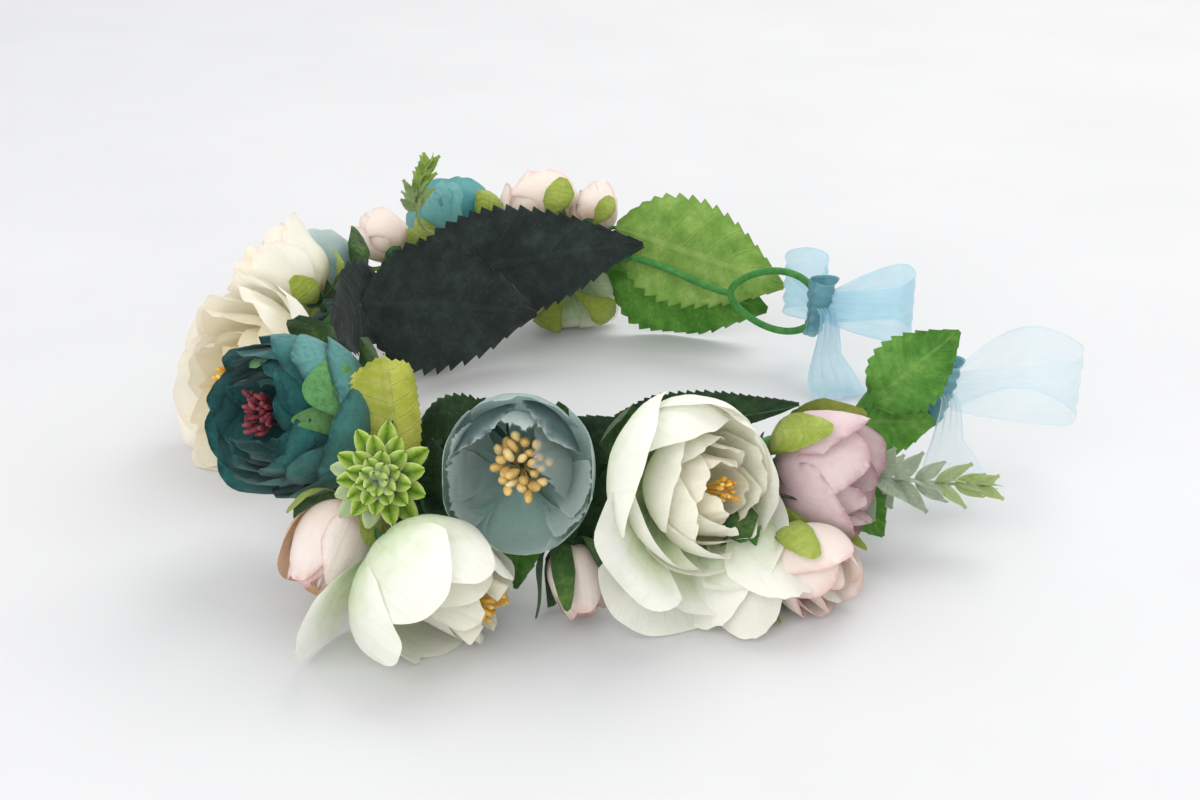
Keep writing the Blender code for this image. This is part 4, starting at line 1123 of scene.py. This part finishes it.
def add_succulent():
    """A rosette of fat flocked leaves on a stem."""
    angle, out, height, yaw, pitch, radius, depth, stem_angle = SUCCULENT
    facing = direction(angle, yaw, pitch)
    place = frame_at(place_at(angle, out, height) - facing * depth / 2, facing, UP)
    maker = Maker()
    count = 36
    for index in range(count):
        add_fat_leaf(maker, place, index, (index + 0.5) / count, radius, depth)
    add_stem(maker, place.translation, facing, stem_angle, 0.006)
    maker.build("succulent_rosette", "flocked_pick", [FLOCK, STEM], ["succulent_pick"])


add_succulent()


# ---- the wire ring
def wound(radius, low, lift, turns):
    """A radius that steps up along a spiral, as wound paper does."""
    return lambda share: radius * (low + lift * ((share * turns) % 1.0))


def ring_path(first, last, steps=420):
    return [ring_point(between(first, last, k / steps)) for k in range(steps + 1)]


def eye_place(far):
    return Matrix.Translation(ring_point(FAR_END if far else NEAR_END)) @ turn_about("Z", EYE_HEADINGS[far])


def add_wire():
    cover = Maker()
    cover.tube(ring_path(NEAR_END, FAR_END), wound(COVER_RADIUS, 0.97, 0.05, 150), 12)
    for far in (False, True):
        place = eye_place(far)
        eye = []
        for k in range(161):
            turned = tau * k / 160
            fullness = between(sin(turned / 2), 1, EYE_ROUNDNESS)
            eye.append(place @ Vector((EYE_LENGTH * (1 - cos(turned)) / 2, 0,
                                       EYE_HEIGHT / 2 * sin(turned) * fullness)))
        cover.tube(eye, wound(COVER_RADIUS, 0.97, 0.05, 44), 12)
    cover.build("covered_wire", "paper_cover", [COVER], ["paper_cover"])
    tape = Maker()
    tape.tube(ring_path(*TAPE_ENDS), lambda share: TAPE_RADIUS * (
        0.93 + 0.11 * ((share * 52) % 1.0) + 0.05 * noise.noise(Vector((share * 60, 0, 0)))), 14)
    tape.build("wound_tape", "floral_tape", [TAPE], ["tape_wrap"])
    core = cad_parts["frame_core"].data
    core.materials.clear()
    core.materials.append(STEEL)


add_wire()


# ---- ribbons
def gathered_row(centre, lean, side, width, phase, count):
    """A row of points across a ribbon that keeps the cloth's own width, folded into pleats where gathered."""
    share = max(0.12, min(1.0, width / RIBBON_WIDTH))
    rise = RIBBON_WIDTH / (4 * PLEATS) * sqrt(max(0.0, 1 - share * share))
    return [centre + lean * (k / count - 0.5) * width
            + side * rise * (2 / pi * asin(0.985 * sin(tau * PLEATS * (k / count) + phase)))
            for k in range(count + 1)]


def add_band(name, body, path, widths, lean, paint, phase):
    """One length of ribbon along a path, pleated where it is gathered narrower than its cut width."""
    maker = Maker()
    rows, marks = [], []
    length = 0.0
    count = PLEATS * 12
    for index, point in enumerate(path):
        before, after = path[max(0, index - 1)], path[min(len(path) - 1, index + 1)]
        length += (point - before).length
        side = (after - before).normalized().cross(lean).normalized()
        soft = noise.noise(Vector((index * 0.11, phase, 0.3)))
        row = gathered_row(point, lean, side, widths[index], phase, count)
        rows.append([p + side * 0.0007 * soft for p in row])
        marks.append([(k / count, length / RIBBON_WIDTH / 3) for k in range(count + 1)])
    maker.grid(rows, marks)
    made = maker.build(name, "organza", [paint], body=body)


def add_wrap(name, body, tip, node):
    """The ribbon's turns round the tip of the eye, gathered tighter at the bottom and creased all the way."""
    maker = Maker()
    turns, height = 1.6, RIBBON_WIDTH * 0.9

    def at(share, up):
        turn = tau * turns * share
        reach = between(0.0024, 0.0046, up ** 1.3) + 0.0005 * share
        reach += 0.00045 * sin(turn * 3 + up * 6) + 0.00038 * sin(tau * up * 5.5 + turn * 0.8)
        lean = 0.0035 * (up - 0.5)
        return tip + Vector((reach * cos(turn) + lean, reach * sin(turn), (up - 0.5) * height))

    rows = maker.surface(120, 40, at)
    length = sum(sum((a - b).length for a, b in zip(row, before)) / len(row)
                 for before, row in zip(rows, rows[1:]))
    made = maker.build(name, "organza", [ORGANZA_DENSE], [node], body)


def add_bow(body, far, node, loops, tails):
    tip = eye_place(far) @ Vector((EYE_LENGTH, 0, 0))
    label = "far" if far else "near"
    wrap = f"{label}_ribbon_wrap"
    add_wrap(wrap, body, tip, node)
    sheer = ORGANZA_FAR if far else ORGANZA
    for index, (heading, reach, spread_out, rise, root) in enumerate(loops):
        turned = turn_about("Z", heading, 3)
        path, widths = [], []
        for k in range(73):
            share = k / 72
            along = between(0.0034, reach, sin(pi * share) ** 0.8)
            aside = -spread_out / 2 * sin(tau * share) + between(-0.0012, 0.0012, share)
            path.append(tip + turned @ Vector((along, aside, 0)) + UP * (rise * sin(pi * share)))
            widths.append(between(root, RIBBON_WIDTH * 0.998, sin(pi * share) ** 0.5))
        add_band(f"{label}_ribbon_loop_{index}", body, path, widths, UP, sheer, index * 1.3)
    for index, (heading, reach, end_height) in enumerate(tails):
        turned = turn_about("Z", heading, 3)
        start = tip + turned @ Vector((0.0036, 0, 0))
        knee, end = (tip + turned @ Vector((reach * share, 0, end_height - tip.z)) for share in (0.9, 1.9))
        path = bezier(start, tip + turned @ Vector((reach * 0.8, 0, 0.002)), start.lerp(knee, 0.6), 12)
        path += bezier(path[-1], knee, end, 22)[1:]
        widths = [between(0.005, RIBBON_WIDTH * 0.86, ease(k / 34 * 1.3)) for k in range(35)]
        lean = turned @ Vector((0, 1, 0))
        add_band(f"{label}_ribbon_tail_{index}", body, path, widths, lean, sheer, 0.8 + index)


add_bow("near_bow", False, "near_ribbon", ((20, 0.046, 0.028, 0.0, 0.012),), ((-72, 0.009, 0.01),))
add_bow("far_bow", True, "far_ribbon", ((-4, 0.033, 0.02, 0.003, 0.01), (100, 0.022, 0.014, 0.003, 0.01)),
        ((-70, 0.012, 0.0016),))


# ---- floor, light and camera
def add_floor():
    mesh = bpy.data.meshes.new("floor")
    mesh.from_pydata([(-3, -3, 0), (3, -3, 0), (3, 5, 0), (-3, 5, 0)], [], [(0, 1, 2, 3)])
    floor = bpy.data.objects.new("floor", mesh)
    bpy.context.scene.collection.objects.link(floor)
    floor.location.z = -0.0002
    paint = Paint("pale_table")
    cloud = paint.noise(paint.add("TexCoord", out="Object"), 9.0)
    colour = paint.ramp(cloud, (0.3, 0.7), ("cfcfd0", "d3d3d4"))
    mesh.materials.append(paint.end(colour, cloud, 0.5, 0.02, 0.0005, sheen=0.0, specular=0.3))


def link_aimed(name, data, place, aim):
    """A light or a camera at its place, turned to look at its aim."""
    made = bpy.data.objects.new(name, data)
    made.location = place
    made.rotation_mode = "QUATERNION"
    made.rotation_quaternion = (Vector(aim) - Vector(place)).to_track_quat("-Z", "Y")
    bpy.context.scene.collection.objects.link(made)
    return made


def add_light(name, place, size, power, colour):
    data = bpy.data.lights.new(name, "AREA")
    data.shape, data.size, data.energy, data.color = "SQUARE", size, power, colour
    link_aimed(name, data, place, LIGHTS_AIM)


def add_camera():
    data = bpy.data.cameras.new("camera")
    data.lens, data.sensor_width = 50, 36
    data.clip_start, data.clip_end = 0.01, 20
    bpy.context.scene.camera = link_aimed("camera", data, CAMERA_PLACE, CAMERA_AIM)


add_floor()
add_light("window", (0.55, 0.75, 1.35), 1.0, 12.0, (1.0, 0.99, 0.97))
add_light("fill", (-0.5, -1.1, 0.8), 1.2, 11.0, (0.99, 0.99, 1.0))
add_camera()
world = bpy.data.worlds.new("studio")
world.use_nodes = True
world.node_tree.nodes["Background"].inputs[0].default_value = (0.98, 0.99, 1.0, 1)
world.node_tree.nodes["Background"].inputs[1].default_value = 0.9
bpy.context.scene.world = world
bpy.context.scene.view_settings.view_transform = "Standard"
